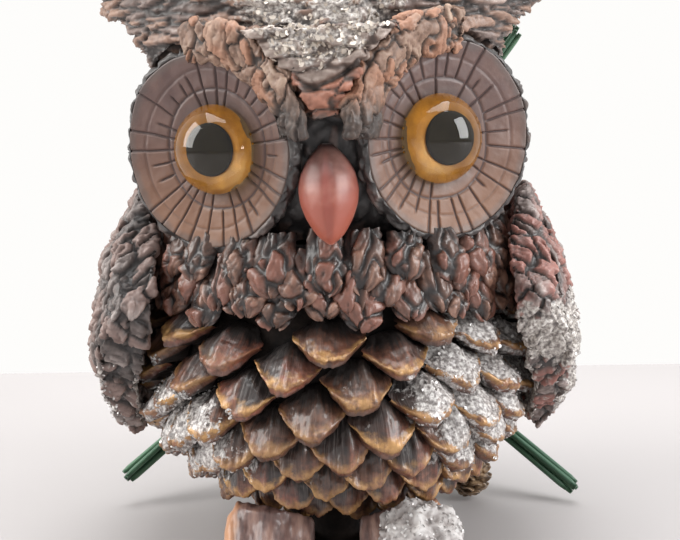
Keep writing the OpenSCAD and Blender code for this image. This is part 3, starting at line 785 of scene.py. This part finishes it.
def build_eye(side, word, glass, amber, black):
    na, nr = 128, 48
    a = np.linspace(0, 2 * np.pi, na, endpoint=False)

    def ring(r, z, shift=0.0):
        return on_disc(-EYE_IN + shift + r * np.cos(a), r * np.sin(a), np.full(na, z), side)

    # dome with a short clear skirt
    cap_r, cap_h = 7.9, 6.1
    ball = (cap_r ** 2 + cap_h ** 2) / (2 * cap_h)
    top = math.asin(cap_r / ball)
    rings = [(cap_r - 0.06, -0.9), (cap_r - 0.04, -0.4), (cap_r - 0.01, 0.2)]
    for k in range(nr):
        tilt = top * (1 - k / nr)
        rings.append((ball * math.sin(tilt), 0.45 + cap_h - ball + ball * math.cos(tilt)))
    V = np.vstack([ring(r, z) for r, z in rings]
        + [on_disc(np.array([-EYE_IN]), np.zeros(1), np.array([0.45 + cap_h]), side)])
    F = grid_faces(na, len(rings), True)
    last = (len(rings) - 1) * na
    F += [(last + i, last + (i + 1) % na, len(V) - 1) for i in range(na)]
    F.append(list(range(na))[::-1])
    make("eye_dome_%s_clear" % word, V, outward(V, F), glass, ["eye_dome_" + word])
    # iris plate in the back of the dome
    radii = [0.0, 1.5, 3.0, 4.2, 5.2, 6.1, 6.8, 7.3]
    V = np.vstack([ring(r, -0.78, -0.3) for r in radii] + [ring(7.3, -1.25, -0.3)])
    F = grid_faces(na, len(radii) + 1, True)
    make("iris_%s_amber" % word, V, flip(F, side), amber, ["iris_" + word])
    # pupil, a thin black dot in front of the iris
    off = 0.55 if side < 0 else 1.05
    dot = [(0.0, -0.32), (1.6, -0.32), (2.9, -0.32), (3.25, -0.36), (3.3, -0.5), (3.3, -0.74), (0.0, -0.74)]
    V = np.vstack([ring(r, z, off) for r, z in dot])
    F = grid_faces(na, len(dot), True)
    make("pupil_%s_black" % word, V, flip(F, side), black, ["pupil_" + word])

# ---- beak
def build_beak(mat):
    s = np.linspace(0, 1, 60)
    ks = [0, .06, .16, .3, .45, .6, .75, .87, .95, 1]
    w = np.interp(s, ks, [0.9, 2.0, 3.5, 4.8, 5.25, 5.0, 4.1, 2.95, 2.0, 0.7])
    p = np.interp(s, ks, [0.6, 2.0, 3.8, 5.6, 6.6, 6.9, 6.5, 5.6, 4.7, 3.4])
    for _ in range(6):
        w[1:-1] = (w[:-2] + 2 * w[1:-1] + w[2:]) / 4
        p[1:-1] = (p[:-2] + 2 * p[1:-1] + p[2:]) / 4
    phi = np.linspace(-math.pi, math.pi, 72, endpoint=False)
    PH, S = np.meshgrid(phi, s)
    W, Pp = w[:, None], p[:, None]
    x = W * np.sign(np.sin(PH)) * np.abs(np.sin(PH)) ** 0.92
    c = np.cos(PH)
    ridge = 0.5 * np.exp(-(PH / 0.35) ** 2) - 0.34 * np.exp(-(PH / 0.10) ** 2)
    y = -33.0 - np.where(c > 0, Pp * np.abs(c) ** 0.85, -1.5 * np.abs(c)) - ridge * np.sin(np.pi * S) ** 0.7
    z = 81.4 - 17.0 * S + 0 * PH
    V = lean(np.stack([x - 0.2, y, z], -1)).reshape(-1, 3)
    F = grid_faces(72, 60, True)
    F.append(list(range(72)))
    F.append(list(range(59 * 72, 60 * 72))[::-1])
    crease = (np.exp(-((PH + 0.05) / 0.13) ** 2) * np.sin(np.pi * S) ** 0.8).ravel()
    attrs = {"crease": crease, "s": S.ravel()}
    make("beak_coral", V, outward(V, F), mat, ["beak"], attrs)

def beak_material():
    m = Mat("coral_beak_gloss", rough=0.45, coat=0.22, coat_rough=0.28)
    m.set("Subsurface Weight", 0.25)
    m.set("Subsurface Radius", (0.004, 0.0015, 0.001))
    m.set("Subsurface Scale", 0.6)
    col = m.ramp(m.jitter(m.attr("s"), m.noise(140.0, 3.0), 0.2), [(0.02, (0.050, 0.028, 0.026)),
        (0.24, (0.15, 0.055, 0.044)), (0.5, (0.29, 0.078, 0.054)), (1.0, (0.40, 0.105, 0.066))])
    col = m.mix(m.math("MULTIPLY", m.attr("crease"), 0.55), col, (0.30, 0.07, 0.055))
    col = m.mix(m.ramp(m.noise(210.0, 3.0), [(0.5, 0.0), (0.75, 0.3)]), col, (0.62, 0.34, 0.28))
    m.color(col)
    m.bump(m.noise(700.0, 2.0), 0.12, 0.0002)
    return m.m

# ---- flakes of mica snow
def flakes(name, P, N, size, mat, seed, nodes=()):
    rng = np.random.default_rng(seed)
    k = len(P)
    t = rng.normal(size=(k, 3))
    nn = N + 0.75 * rng.normal(size=(k, 3))
    nn /= np.linalg.norm(nn, axis=1)[:, None]
    t -= (t * nn).sum(1)[:, None] * nn
    t /= np.linalg.norm(t, axis=1)[:, None]
    b = np.cross(nn, t)
    r = size * rng.uniform(0.45, 1.25, k)
    V = []
    for j in range(6):
        a = j * math.pi / 3
        rr = r * rng.uniform(0.6, 1.15, k)
        V.append(P + (t * math.cos(a) + b * math.sin(a)) * rr[:, None] + nn * (0.1 * r)[:, None])
    V = np.stack(V, 1).reshape(-1, 3)
    F = (np.arange(k)[:, None] * 6 + np.arange(6)[None, :]).tolist()
    return make(name, V, F, mat, nodes, {"c": np.repeat(rng.random(k), 6)}, flat=True)

def flake_material(name, low, high, rough=0.25):
    m = Mat(name, rough=rough, coat=0.5, coat_rough=0.1)
    mid = tuple((a + b) / 2 for a, b in zip(low, high))
    m.color(m.ramp(m.attr("c"), [(0.0, low), (0.55, mid), (1.0, high)]))
    m.set("Metallic", 0.15)
    m.bump(m.noise(900.0, 2.0), 0.2, 0.0002)
    return m.m

def scatter_on(ob, weight, count, seed):
    """Random points with normals on a piece, chosen by a weight per vertex position."""
    rng = np.random.default_rng(seed)
    me = ob.data
    v, n = vert_arrays(me)
    v = v / MM
    w = np.clip(weight(v, n), 0, None)
    idx = rng.choice(len(v), size=count, p=w / w.sum())
    return v[idx] + rng.normal(size=(count, 3)) * 0.12, n[idx]

# ---- sprig
def tube(points, radii, sides=14):
    """A tapered tube along points in mm, closed at both ends."""
    P = np.asarray(points, float)
    T = np.gradient(P, axis=0)
    T /= np.linalg.norm(T, axis=1)[:, None]
    ref = np.array([0.3, 0.2, 1.0])
    V = []
    for p, t, r in zip(P, T, radii):
        b = np.cross(t, ref)
        b /= np.linalg.norm(b)
        c = np.cross(t, b)
        for k in range(sides):
            a = 2 * math.pi * k / sides
            V.append(p + r * (math.cos(a) * b + math.sin(a) * c))
    F = grid_faces(sides, len(P), True)
    F.append(list(range(sides)))
    F.append(list(range((len(P) - 1) * sides, len(P) * sides))[::-1])
    return np.array(V), [f[::-1] for f in F]

def bundle(name, start, end, strands, mat, node, seed, bend):
    rng = np.random.default_rng(seed)
    a, b = np.array(start, float), np.array(end, float)
    run = b - a
    L = np.linalg.norm(run)
    d = run / L
    x = np.cross(d, [0, 0, 1.0])
    x /= np.linalg.norm(x)
    y = np.cross(x, d)
    V, F, C = [], [], []
    base = 0
    s = np.linspace(0, 1, 40)
    for k in range(strands):
        ang = 2 * math.pi * k / max(1, strands - 1)
        rad = 0.0 if k == strands - 1 else 1.18
        cut = 1 - rng.uniform(0, 0.03)
        spread = rng.uniform(0.9, 1.25)
        tw = rng.uniform(0.5, 1.1)
        pts = []
        for q in s * cut:
            w = ang + tw * q
            o = rad * (0.75 + 0.35 * q * spread)
            up = o * math.sin(w) + bend * math.sin(math.pi * q)
            pts.append(a + d * L * q + x * o * math.cos(w) + y * up)
        r = 0.72 * (1 - 0.12 * s)
        r[-1] *= 0.72
        v, f = tube(pts, r)
        V.append(v)
        F += [[base + i for i in g] for g in f]
        base += len(v)
        C.append(np.full(len(v), rng.random()))
    make(name, np.vstack(V), F, mat, [node], {"c": np.concatenate(C)})

def needle_material():
    m = Mat("faux_pine_green", rough=0.38, coat=0.15)
    shade = m.math("ADD", m.math("MULTIPLY", m.attr("c"), 0.6), m.math("MULTIPLY", m.noise(120.0, 2.0), 0.5))
    m.color(m.mix(m.ramp(shade, [(0.3, 0.0), (0.8, 1.0)]), (0.040, 0.105, 0.062), (0.105, 0.215, 0.130)))
    m.bump(m.noise(1.0, 2.0, vec=m.scaled(1500.0, 300.0, 1500.0)), 0.25, 0.0002)
    return m.m

# ---- materials
M_SCALE = scale_material()
M_RUFF = bark_material("ruff_bark_paint", BLACK, (0.104, 0.052, 0.036), (0.315, 0.175, 0.125),
    (0.165, 0.070, 0.050), rough=0.36, coat=0.35)
M_WING = bark_material("wing_bark_paint", BLACK, (0.130, 0.104, 0.096), (0.40, 0.340, 0.318),
    (0.21, 0.145, 0.127), rough=0.48)
M_WING_R = bark_material("wing_bark_red_paint", BLACK, (0.150, 0.112, 0.102), (0.45, 0.375, 0.350),
    (0.270, 0.120, 0.098), rough=0.42, coat=0.35)
M_CROWN = bark_material("crown_bark_paint", (0.040, 0.033, 0.031), (0.175, 0.125, 0.108),
    (0.45, 0.355, 0.315), (0.265, 0.165, 0.122), coat=0.15)
M_BROW = bark_material("brow_bark_paint", (0.055, 0.042, 0.037), (0.250, 0.155, 0.112),
    (0.48, 0.350, 0.265), (0.320, 0.165, 0.105), rough=0.56, coat=0.1)
M_FORE = bark_material("forehead_bark_paint", (0.042, 0.033, 0.030), (0.200, 0.145, 0.122),
    (0.50, 0.415, 0.365), (0.34, 0.150, 0.100), coat=0.15)
M_DARK = bark_material("dark_bark_paint", (0.032, 0.030, 0.031), (0.055, 0.050, 0.050),
    (0.125, 0.105, 0.100), (0.095, 0.065, 0.058))
M_NAPE = bark_material("nape_bark_paint", BLACK, (0.120, 0.085, 0.075), (0.34, 0.255, 0.225),
    (0.23, 0.135, 0.105), coat=0.2)
M_RIM = bark_material("rim_bark_paint", (0.038, 0.035, 0.035), (0.085, 0.075, 0.072),
    (0.21, 0.185, 0.175), (0.12, 0.09, 0.08), rough=0.42, coat=0.35)
M_CRUST = bark_material("snow_crust", (0.11, 0.095, 0.09), (0.30, 0.27, 0.26), (0.62, 0.60, 0.59),
    (0.40, 0.36, 0.35), coat=0.3, snow=False)
M_DISC = disc_material()
M_BEAK = beak_material()
M_NEEDLE = needle_material()
M_FLAKE = flake_material("mica_snow_flakes", (0.34, 0.32, 0.31), (0.88, 0.87, 0.86))
M_FLAKE_W = flake_material("cream_snow_flakes", (0.42, 0.350, 0.29), (0.90, 0.83, 0.74))

def glass_material():
    m = Mat("clear_amber_dome", rough=0.02, spec=0.5)
    m.set("Base Color", (1.0, 0.80, 0.42))
    m.set("Transmission Weight", 1.0)
    m.set("IOR", 1.5)
    return m.m

def iris_material():
    m = Mat("amber_iris_paint", rough=0.35)
    n = m.noise(420.0, 3.0)
    m.color(m.mix(m.ramp(n, [(0.35, 0.0), (0.7, 1.0)]), (0.27, 0.120, 0.010), (0.46, 0.225, 0.022)))
    m.bump(m.noise(800.0, 2.0), 0.1, 0.0002)
    return m.m

def pupil_material():
    m = Mat("black_pupil_paint", rough=0.9, spec=0.0)
    m.color(m.mix(m.noise(300.0, 2.0), (0.012, 0.012, 0.013), (0.022, 0.021, 0.022)))
    return m.m

M_GLASS, M_IRIS, M_PUPIL = glass_material(), iris_material(), pupil_material()

# ---- build
build_scales(M_SCALE)
build_ruff(M_RUFF)
for side, word in SIDES:
    build_disc(side, word, M_DISC)
    build_rim(side, word, M_RIM)
    build_eye(side, word, M_GLASS, M_IRIS, M_PUPIL)
build_beak(M_BEAK)

def wing_snow(v, n):
    return snow_mask(v) * smooth(-0.2, 0.3, n[:, 2] + 0.65)

def the_rest(p):
    return np.ones(len(p), bool)

def wing_outside(p):
    """True on the outer face of a wing, where the bark plates lie."""
    mid_r = np.interp(p[:, 2], [21.5, 32, 43, 57, 67], [40.4, 45.0, 46.7, 43.6, 40.0])
    return np.hypot(p[:, 0], p[:, 1]) > mid_r

wings = {}
for side, word in SIDES:
    wings[word], _ = bark_skin("wing", ["wing_" + word, "wing_bark_" + word],
        M_WING if side < 0 else M_WING_R, (2.5, 6.0, 5.6), 1.9, 130 + side, voxel=0.36, relax=6,
        hang=0.4, sharp=0.22, coords=around, snow=wing_snow, rough_amp=0.9, warp=0.3,
        cut=[("wing_bark_%s_plates" % word, "wing_bark_" + word, wing_outside),
            ("wing_%s_skin" % word, "wing_" + word, the_rest)])

def crown_snow_field(v, n):
    """The snow patch on top of the head, 0 to 1."""
    w = 1 - np.hypot((v[:, 0] + 2) / 25, (v[:, 1] + 6) / 34)
    patch = smooth(-0.05, 0.5, w + 0.3 * fbm(v * 0.18, 3, 3))
    return patch * smooth(97, 101.5, v[:, 2] + 2.5 * fbm(v * 0.2, 2, 8))

def left_ear_in(v):
    """Draws the left ear tip in a little."""
    v[:, 0] = np.where(v[:, 0] < -30, -30 + (v[:, 0] + 30) * 0.83, v[:, 0])
    return v

crown, _, _ = bark_skin("crown", ["crown_bark", "ear_tuft_left", "ear_tuft_right"], M_CROWN,
    (10.5, 10.5, 1.9), 1.9, 210, voxel=0.4, relax=14, hang=0.3, sharp=0.26, snow=crown_snow_field,
    rough_amp=1.0, warp=0.5, ragged=2.6, mould=left_ear_in,
    cut=[("crown_bark_skin", "crown_bark", lambda p: np.abs(p[:, 0] + 1.4) < EAR_FROM),
        ("ear_tuft_left_bark", "ear_tuft_left", lambda p: p[:, 0] < 0),
        ("ear_tuft_right_bark", "ear_tuft_right", lambda p: p[:, 0] > 0)])
bark_skin("nape_bark_skin", ["nape_bark"], M_NAPE, (4.5, 5.0, 9.0), 1.8, 230, relax=6, coords=around)
bark_skin("head_core_bark", ["head_core"], M_DARK, (3.2, 3.2, 5.0), 1.0, 240, voxel=0.6, relax=4,
    rough_amp=0.2)

def flatter(side):
    """Presses a brow down toward its disc and spreads its outer edge unevenly."""
    def press(v):
        x, y, z = off_disc(v, side)
        r, a = np.hypot(x, y), np.arctan2(y, x)
        k = np.clip((r - 15.5) / 6, 0, 1)
        wave = vnoise(np.stack([a * 7, np.full_like(a, side * 3.0), np.zeros_like(a)], 1), 19)
        r = r + (1.2 * wave + 0.3) * (k - 0.35)
        thin = (0.42 + 0.33 * k) * (0.45 + 0.55 * smooth(1.40, 1.85, a))
        return on_disc(r * np.cos(a), r * np.sin(a), np.where(z > 0.2, 0.2 + (z - 0.2) * thin, z), side)
    return press

def brow_recess_shade(v, h, n):
    """Darkens a brow toward its low inner end, in the recess between the discs above the beak: painted
    shade.
    """
    return h * (0.12 + 0.88 * smooth(84, 93, v[:, 2] + 1.5 * fbm(v * 0.4, 2, 6)))

for side, word in SIDES:
    bark_skin("brow_%s_bark" % word, ["brow_" + word], M_BROW, (5.0, 5.4, 7.4), 1.5, 250 + side,
        voxel=0.32, relax=10, sharp=0.11, rough_amp=1.0, warp=0.75, mould=flatter(side),
        extra_h=brow_recess_shade)

def fold(v):
    """Height above the smile shaped fold that crosses the forehead."""
    return v[:, 2] - (90.6 + 8.4 * np.abs((v[:, 0] + 2.2) / 12.5) ** 1.4) + 1.2 * fbm(v * 0.25, 2, 4)

def fold_relief(v):
    """A groove along the fold and a swell under it."""
    return 0.9 * np.exp(-((fold(v) + 1.6) / 1.1) ** 2) - 1.1 * np.exp(-(fold(v) / 0.6) ** 2)

def fold_shade(v, h, n):
    """Darkens the groove of the fold and the low end of the wedge."""
    groove = 1 - 0.75 * np.exp(-(fold(v) / 0.5) ** 2)
    return (0.25 + 0.75 * h) * groove * smooth(84.5, 87.5, v[:, 2])

forehead = bark_skin("brow_centre_bark", ["brow_centre"], M_FORE, (9.0, 8.0, 3.6), 1.7, 260,
    voxel=0.32, relax=12, sharp=0.22, rough_amp=1.2, warp=0.6, shape=fold_relief,
    tint=lambda v, c: np.where(fold(v) > 0, 0.2, 0.95),
    snow=lambda v, n: 0.55 * smooth(0.8, 4.0, fold(v)),
    extra_h=fold_shade)
bark_skin("neck_collar_bark", ["neck_collar"], M_DARK, (4.0, 4.0, 4.0), 0.5, 270, voxel=0.8, relax=2,
    rough_amp=0.1)

def foot_material():
    m = Mat("foot_paint", rough=0.42, coat=0.35, coat_rough=0.2)
    streak = m.noise(1.0, 3.0, vec=m.scaled(700.0, 160.0, 160.0), rough=0.6)
    col = m.ramp(streak, [(0.30, (0.070, 0.042, 0.040)), (0.48, (0.165, 0.095, 0.082)),
        (0.68, (0.30, 0.185, 0.150))])
    col = m.mix(m.ramp(m.attr("edge"), [(0.35, 0.0), (0.9, 1.0)]), col, (0.50, 0.235, 0.110))
    col = m.mix(m.ramp(m.attr("h"), [(0.0, 0.85), (0.45, 0.0)]), col, BLACK)
    m.color(col)
    m.bump(streak, 0.4, 0.0004)
    m.bump(m.noise(1800.0, 3.0), 0.25, 0.0002)
    return m.m

M_FOOT = foot_material()
for side, word in SIDES:
    v, f, n = remeshed(["foot_" + word], 0.4, 10)
    groove = np.abs(((v[:, 0] * side - FOOT_X) / 4.3 + 0.5) % 1 - 0.5) * 2
    h = smooth(0.0, 0.5, 1 - groove * 0.9)
    front = smooth(-20, -27, v[:, 1])
    d = 0.35 * fbm(v * np.array([0.9, 0.3, 0.3]), 3, 300 + side) + 0.2 * (h - 0.5) * front
    out = (v[:, 0] * side - FOOT_X) / 8.2 + 0.12 * fbm(v * 0.5, 3, 9)
    edge = smooth(0.4, 1.0, out) * smooth(-16, -26, v[:, 1])
    make("foot_%s_painted" % word, v + n * d[:, None], f, M_FOOT, ["foot_" + word],
        {"edge": edge, "h": 0.35 + 0.65 * h})

v, f, n = remeshed(["foot_snow"], 0.35, 8)
lump = fbm(v * 0.55, 4, 310)

foot_snow = make("foot_snow_crust", v + n * (1.7 * lump + 0.1)[:, None], f, M_CRUST, ["foot_snow"],
    {"h": np.clip(0.6 + 0.5 * lump, 0, 1), "c": np.zeros(len(v))})

def forehead_snow(v, n):
    return smooth(1.5, 5.0, fold(v)) * smooth(0.0, 0.5, -n[:, 1]) + 1e-9

def low_snow(side):
    """Where flakes lie on the scales of one side."""
    def weight(v, n):
        here = (snow_mask(v) > 0.25) * (v[:, 0] * side > 0) * (snow_mask(v) ** 1.2)
        return here * (0.15 + smooth(0.0, 0.4, fbm(v * 0.5, 3, 92))) + 1e-9
    return weight

# crown snow: flakes standing on the crown stand for the crust layer
p, n = scatter_on(crown, lambda v, n: crown_snow_field(v, n) ** 1.5, 3600, 1)
p2, n2 = scatter_on(forehead, forehead_snow, 420, 8)
p, n = np.vstack([p, p2]), np.vstack([n, n2])
flakes("crown_snow_flakes", p, n, 0.52, M_FLAKE_W, 2, ["crown_snow"])
p, n = scatter_on(foot_snow, lambda v, n: np.ones(len(v)), 700, 3)
flakes("foot_snow_flakes", p, n, 0.34, M_FLAKE, 4)
for side, word in SIDES:
    P, N = [], []
    for k in range(1, 9):
        ob = bpy.data.objects["scale_spiral_%d_painted" % k]
        pp, nn = scatter_on(ob, low_snow(side), 300, 20 + k + side)
        P.append(pp)
        N.append(nn)
    pp, nn = scatter_on(wings[word], lambda v, n: wing_snow(v, n) ** 1.5 + 1e-9, 420, 44)
    P.append(pp)
    N.append(nn)
    flakes("snow_flakes_low_" + word, np.vstack(P), np.vstack(N), 0.33, M_FLAKE, 60 + side)

# sprig
bundle("needles_left_strands", (-4, SPRIG_Y, 35), (-47.2, 14.5, 6.0), 5, M_NEEDLE, "needles_left", 1, 0.8)
bundle("needles_right_strands", (4, SPRIG_Y, 37), (52.5, 11.5, 2.9), 6, M_NEEDLE, "needles_right", 2, 0.8)
bundle("needles_upper_strands", (0.9, 46.6, 43.4), (41, 27.5, 103.6), 6, M_NEEDLE, "needles_upper", 3, 0.5)

def twig_material(name, a, b, rough=0.5):
    m = Mat(name, rough=rough, coat=0.25)
    m.color(m.mix(m.ramp(m.noise(500.0, 4.0), [(0.35, 0.0), (0.65, 1.0)]), a, b))
    m.bump(m.noise(1500.0, 4.0), 0.5, 0.0003)
    return m.m

M_TWIG = twig_material("twig_brown", (0.070, 0.045, 0.030), (0.200, 0.125, 0.080))
M_BRONZE = twig_material("bronze_bract", (0.100, 0.060, 0.035), (0.330, 0.220, 0.130), 0.38)
# binding: a wire wound round the root of the bundles
w = np.linspace(0, 1, 260)
turn = w * 2 * math.pi * 9
coil = np.stack([2.0 * np.cos(turn), SPRIG_Y + 2.0 * np.sin(turn), 32.6 + w * 11], 1)
wv, wf = tube(coil, np.full(260, 0.55), 10)
bar = np.stack([np.zeros(30), np.full(30, SPRIG_Y), np.linspace(32.1, 43.9, 30)], 1)
cv, cf = tube(bar, np.full(30, 1.55), 24)
make("sprig_stem_wound", np.vstack([wv, cv]), wf + [[len(wv) + i for i in g] for g in cf], M_TWIG,
    ["sprig_stem"])
s = np.linspace(0, 1, 30)
sag = 1.0 * np.sin(math.pi * s)
twig = np.stack([3.2 + 23.2 * s, SPRIG_Y - 25.6 * s, 29.4 - 17.6 * s - sag], 1)
sv, sf = tube(twig, 0.62 + 0.08 * np.sin(s * 40), 12)
make("mini_cone_stem_twig", sv, sf, M_TWIG, ["mini_cone_stem"])

def build_mini_cone():
    axis = np.array(Matrix.Rotation(math.radians(-52), 3, "Z") @ Matrix.Rotation(math.radians(30), 3, "Y"))
    V, F = [], []
    base = 0
    core_s = np.linspace(0, 1, 24)
    belly = np.sin(math.pi * np.clip(core_s * 0.92 + 0.05, 0, 1)) ** 0.8
    cv, cf = tube(np.stack([0 * core_s, 0 * core_s, -4.4 + 9.2 * core_s], 1), 0.4 + 1.9 * belly, 20)
    V.append(cv)
    F += cf
    base = len(cv)
    nu, nv = 9, 9
    for i in range(46):
        th = math.radians(GOLDEN * i)
        s = i / 45
        z = -3.9 + 8.2 * s
        r0 = 0.5 + 1.7 * math.sin(math.pi * min(1, s * 0.9 + 0.06)) ** 0.8
        L = 2.1 * math.sin(math.pi * min(0.97, 0.16 + 0.8 * s)) ** 0.7
        U, W = np.meshgrid(np.linspace(-1, 1, nu), np.linspace(0, 1, nv))
        wid = 1.25 * (0.55 + 0.6 * np.sin(math.pi * np.clip(W * 0.8 + 0.1, 0, 1))) * (0.5 + 0.5 * L / 2.1)
        out = r0 + L * W * 0.9 + 0.25 * (1 - U ** 2)
        lip = 0.35 * np.exp(-((W - 0.9) / 0.15) ** 2) * (1 - U ** 2)
        zz = z - 0.5 * W + 0.9 * W ** 2 - 0.35 * U ** 2 * W + lip
        x = out * math.cos(th) - U * wid * math.sin(th)
        y = out * math.sin(th) + U * wid * math.cos(th)
        P = np.stack([x, y, zz], -1).reshape(-1, 3)
        V.append(P)
        F += grid_faces(nu, nv, False, base)
        V.append(P + np.array([-0.12 * math.cos(th), -0.12 * math.sin(th), -0.42]))
        F += [g[::-1] for g in grid_faces(nu, nv, False, base + nu * nv)]
        ring = list(range(nu)) + [j * nu + nu - 1 for j in range(1, nv)]
        ring += [(nv - 1) * nu + j for j in range(nu - 2, -1, -1)] + [j * nu for j in range(nv - 2, 0, -1)]
        for a, b in zip(ring, ring[1:] + ring[:1]):
            F.append((base + b, base + a, base + nu * nv + a, base + nu * nv + b))
        base += 2 * nu * nv
    V = 1.1 * np.vstack(V) @ axis.T + np.array([29.6, 16.0, 5.5])
    make("mini_cone_bracts", V, F, M_BRONZE, ["mini_cone"])

build_mini_cone()

# the cone core and the base plug are painted near black, so the gaps between the scales show as deep holes:
# painted shade
for node in ("cone_core", "base_plug"):
    ob = NODES[node]
    mm = Mat(node + "_painted_shade_black", rough=0.85, spec=0.2)
    spots = mm.ramp(mm.noise(300.0, 4.0), [(0.35, 0.0), (0.7, 1.0)])
    mm.color(mm.mix(spots, (0.010, 0.009, 0.009), (0.030, 0.022, 0.019)))
    mm.bump(mm.noise(900.0, 4.0), 0.6, 0.0005)
    ob.data.materials.clear()
    ob.data.materials.append(mm.m)

# ---- stage, camera, light
def floor():
    me = bpy.data.meshes.new("table_top")
    me.from_pydata([(-1.6, -1.2, 0), (1.6, -1.2, 0), (1.6, 0.142, 0), (-1.6, 0.136, 0)], [], [(0, 1, 2, 3)])
    m = Mat("table_paint", rough=0.6, spec=0.3)
    m.color(m.mix(m.noise(9.0, 2.0), (0.42, 0.40, 0.40), (0.47, 0.45, 0.45)))
    me.materials.append(m.m)
    ob = bpy.data.objects.new("table_top", me)
    bpy.context.scene.collection.objects.link(ob)

floor()

def look(eye, target, roll=0.0):
    d = Vector(target) - Vector(eye)
    return (d.to_track_quat("-Z", "Y").to_matrix() @ Matrix.Rotation(roll, 3, "Z")).to_euler()

CAM_AT = (0.0012, -0.230, 0.090)
CAM_PITCH = math.radians(8.8)
CAM_ROLL = math.radians(-0.8)
cam = bpy.data.cameras.new("camera")
cam_ob = bpy.data.objects.new("camera", cam)
bpy.context.scene.collection.objects.link(cam_ob)
cam.sensor_width = 36
cam.lens = 60.8824
cam.clip_start = 0.01
cam_ob.location = CAM_AT
drop = math.tan(CAM_PITCH) * -CAM_AT[1]
cam_ob.rotation_euler = look(CAM_AT, (CAM_AT[0], 0.0, CAM_AT[2] - drop), CAM_ROLL)
bpy.context.scene.camera = cam_ob

def area_light(name, loc, target, size, power, color=(1, 1, 1)):
    li = bpy.data.lights.new(name, "AREA")
    li.shape = "RECTANGLE"
    li.size, li.size_y = size
    li.energy = power
    li.color = color
    ob = bpy.data.objects.new(name, li)
    bpy.context.scene.collection.objects.link(ob)
    ob.location = loc
    ob.rotation_euler = look(loc, target)

world = bpy.data.worlds.new("world")
bpy.context.scene.world = world
world.use_nodes = True
wt = world.node_tree
wn = wt.nodes
coord = wn.new("ShaderNodeTexCoord")
split = wn.new("ShaderNodeSeparateXYZ")
fade = wn.new("ShaderNodeValToRGB")
shift = wn.new("ShaderNodeMapRange")
shift.inputs["From Min"].default_value = -1.0
shift.inputs["From Max"].default_value = 1.0
fade.color_ramp.elements[0].position = 0.15
fade.color_ramp.elements[0].color = (0.50, 0.495, 0.49, 1)
fade.color_ramp.elements[1].position = 0.80
fade.color_ramp.elements[1].color = (0.90, 0.893, 0.878, 1)
wt.links.new(coord.outputs["Generated"], split.inputs[0])
wt.links.new(split.outputs["Y"], shift.inputs["Value"])
wt.links.new(shift.outputs[0], fade.inputs[0])
wt.links.new(fade.outputs[0], wn["Background"].inputs[0])
wn["Background"].inputs[1].default_value = 1.10
area_light("window_left", (-0.55, -0.10, 0.35), (0, 0, 0.07), (0.35, 0.5), 3.7, (1.0, 0.98, 0.95))
area_light("window_right", (0.55, -0.22, 0.30), (0, 0, 0.07), (0.3, 0.45), 3.8)
area_light("overhead", (0.0, 0.05, 0.75), (0, 0, 0.05), (0.6, 0.6), 4.7)

bpy.context.scene.view_settings.view_transform = "Standard"
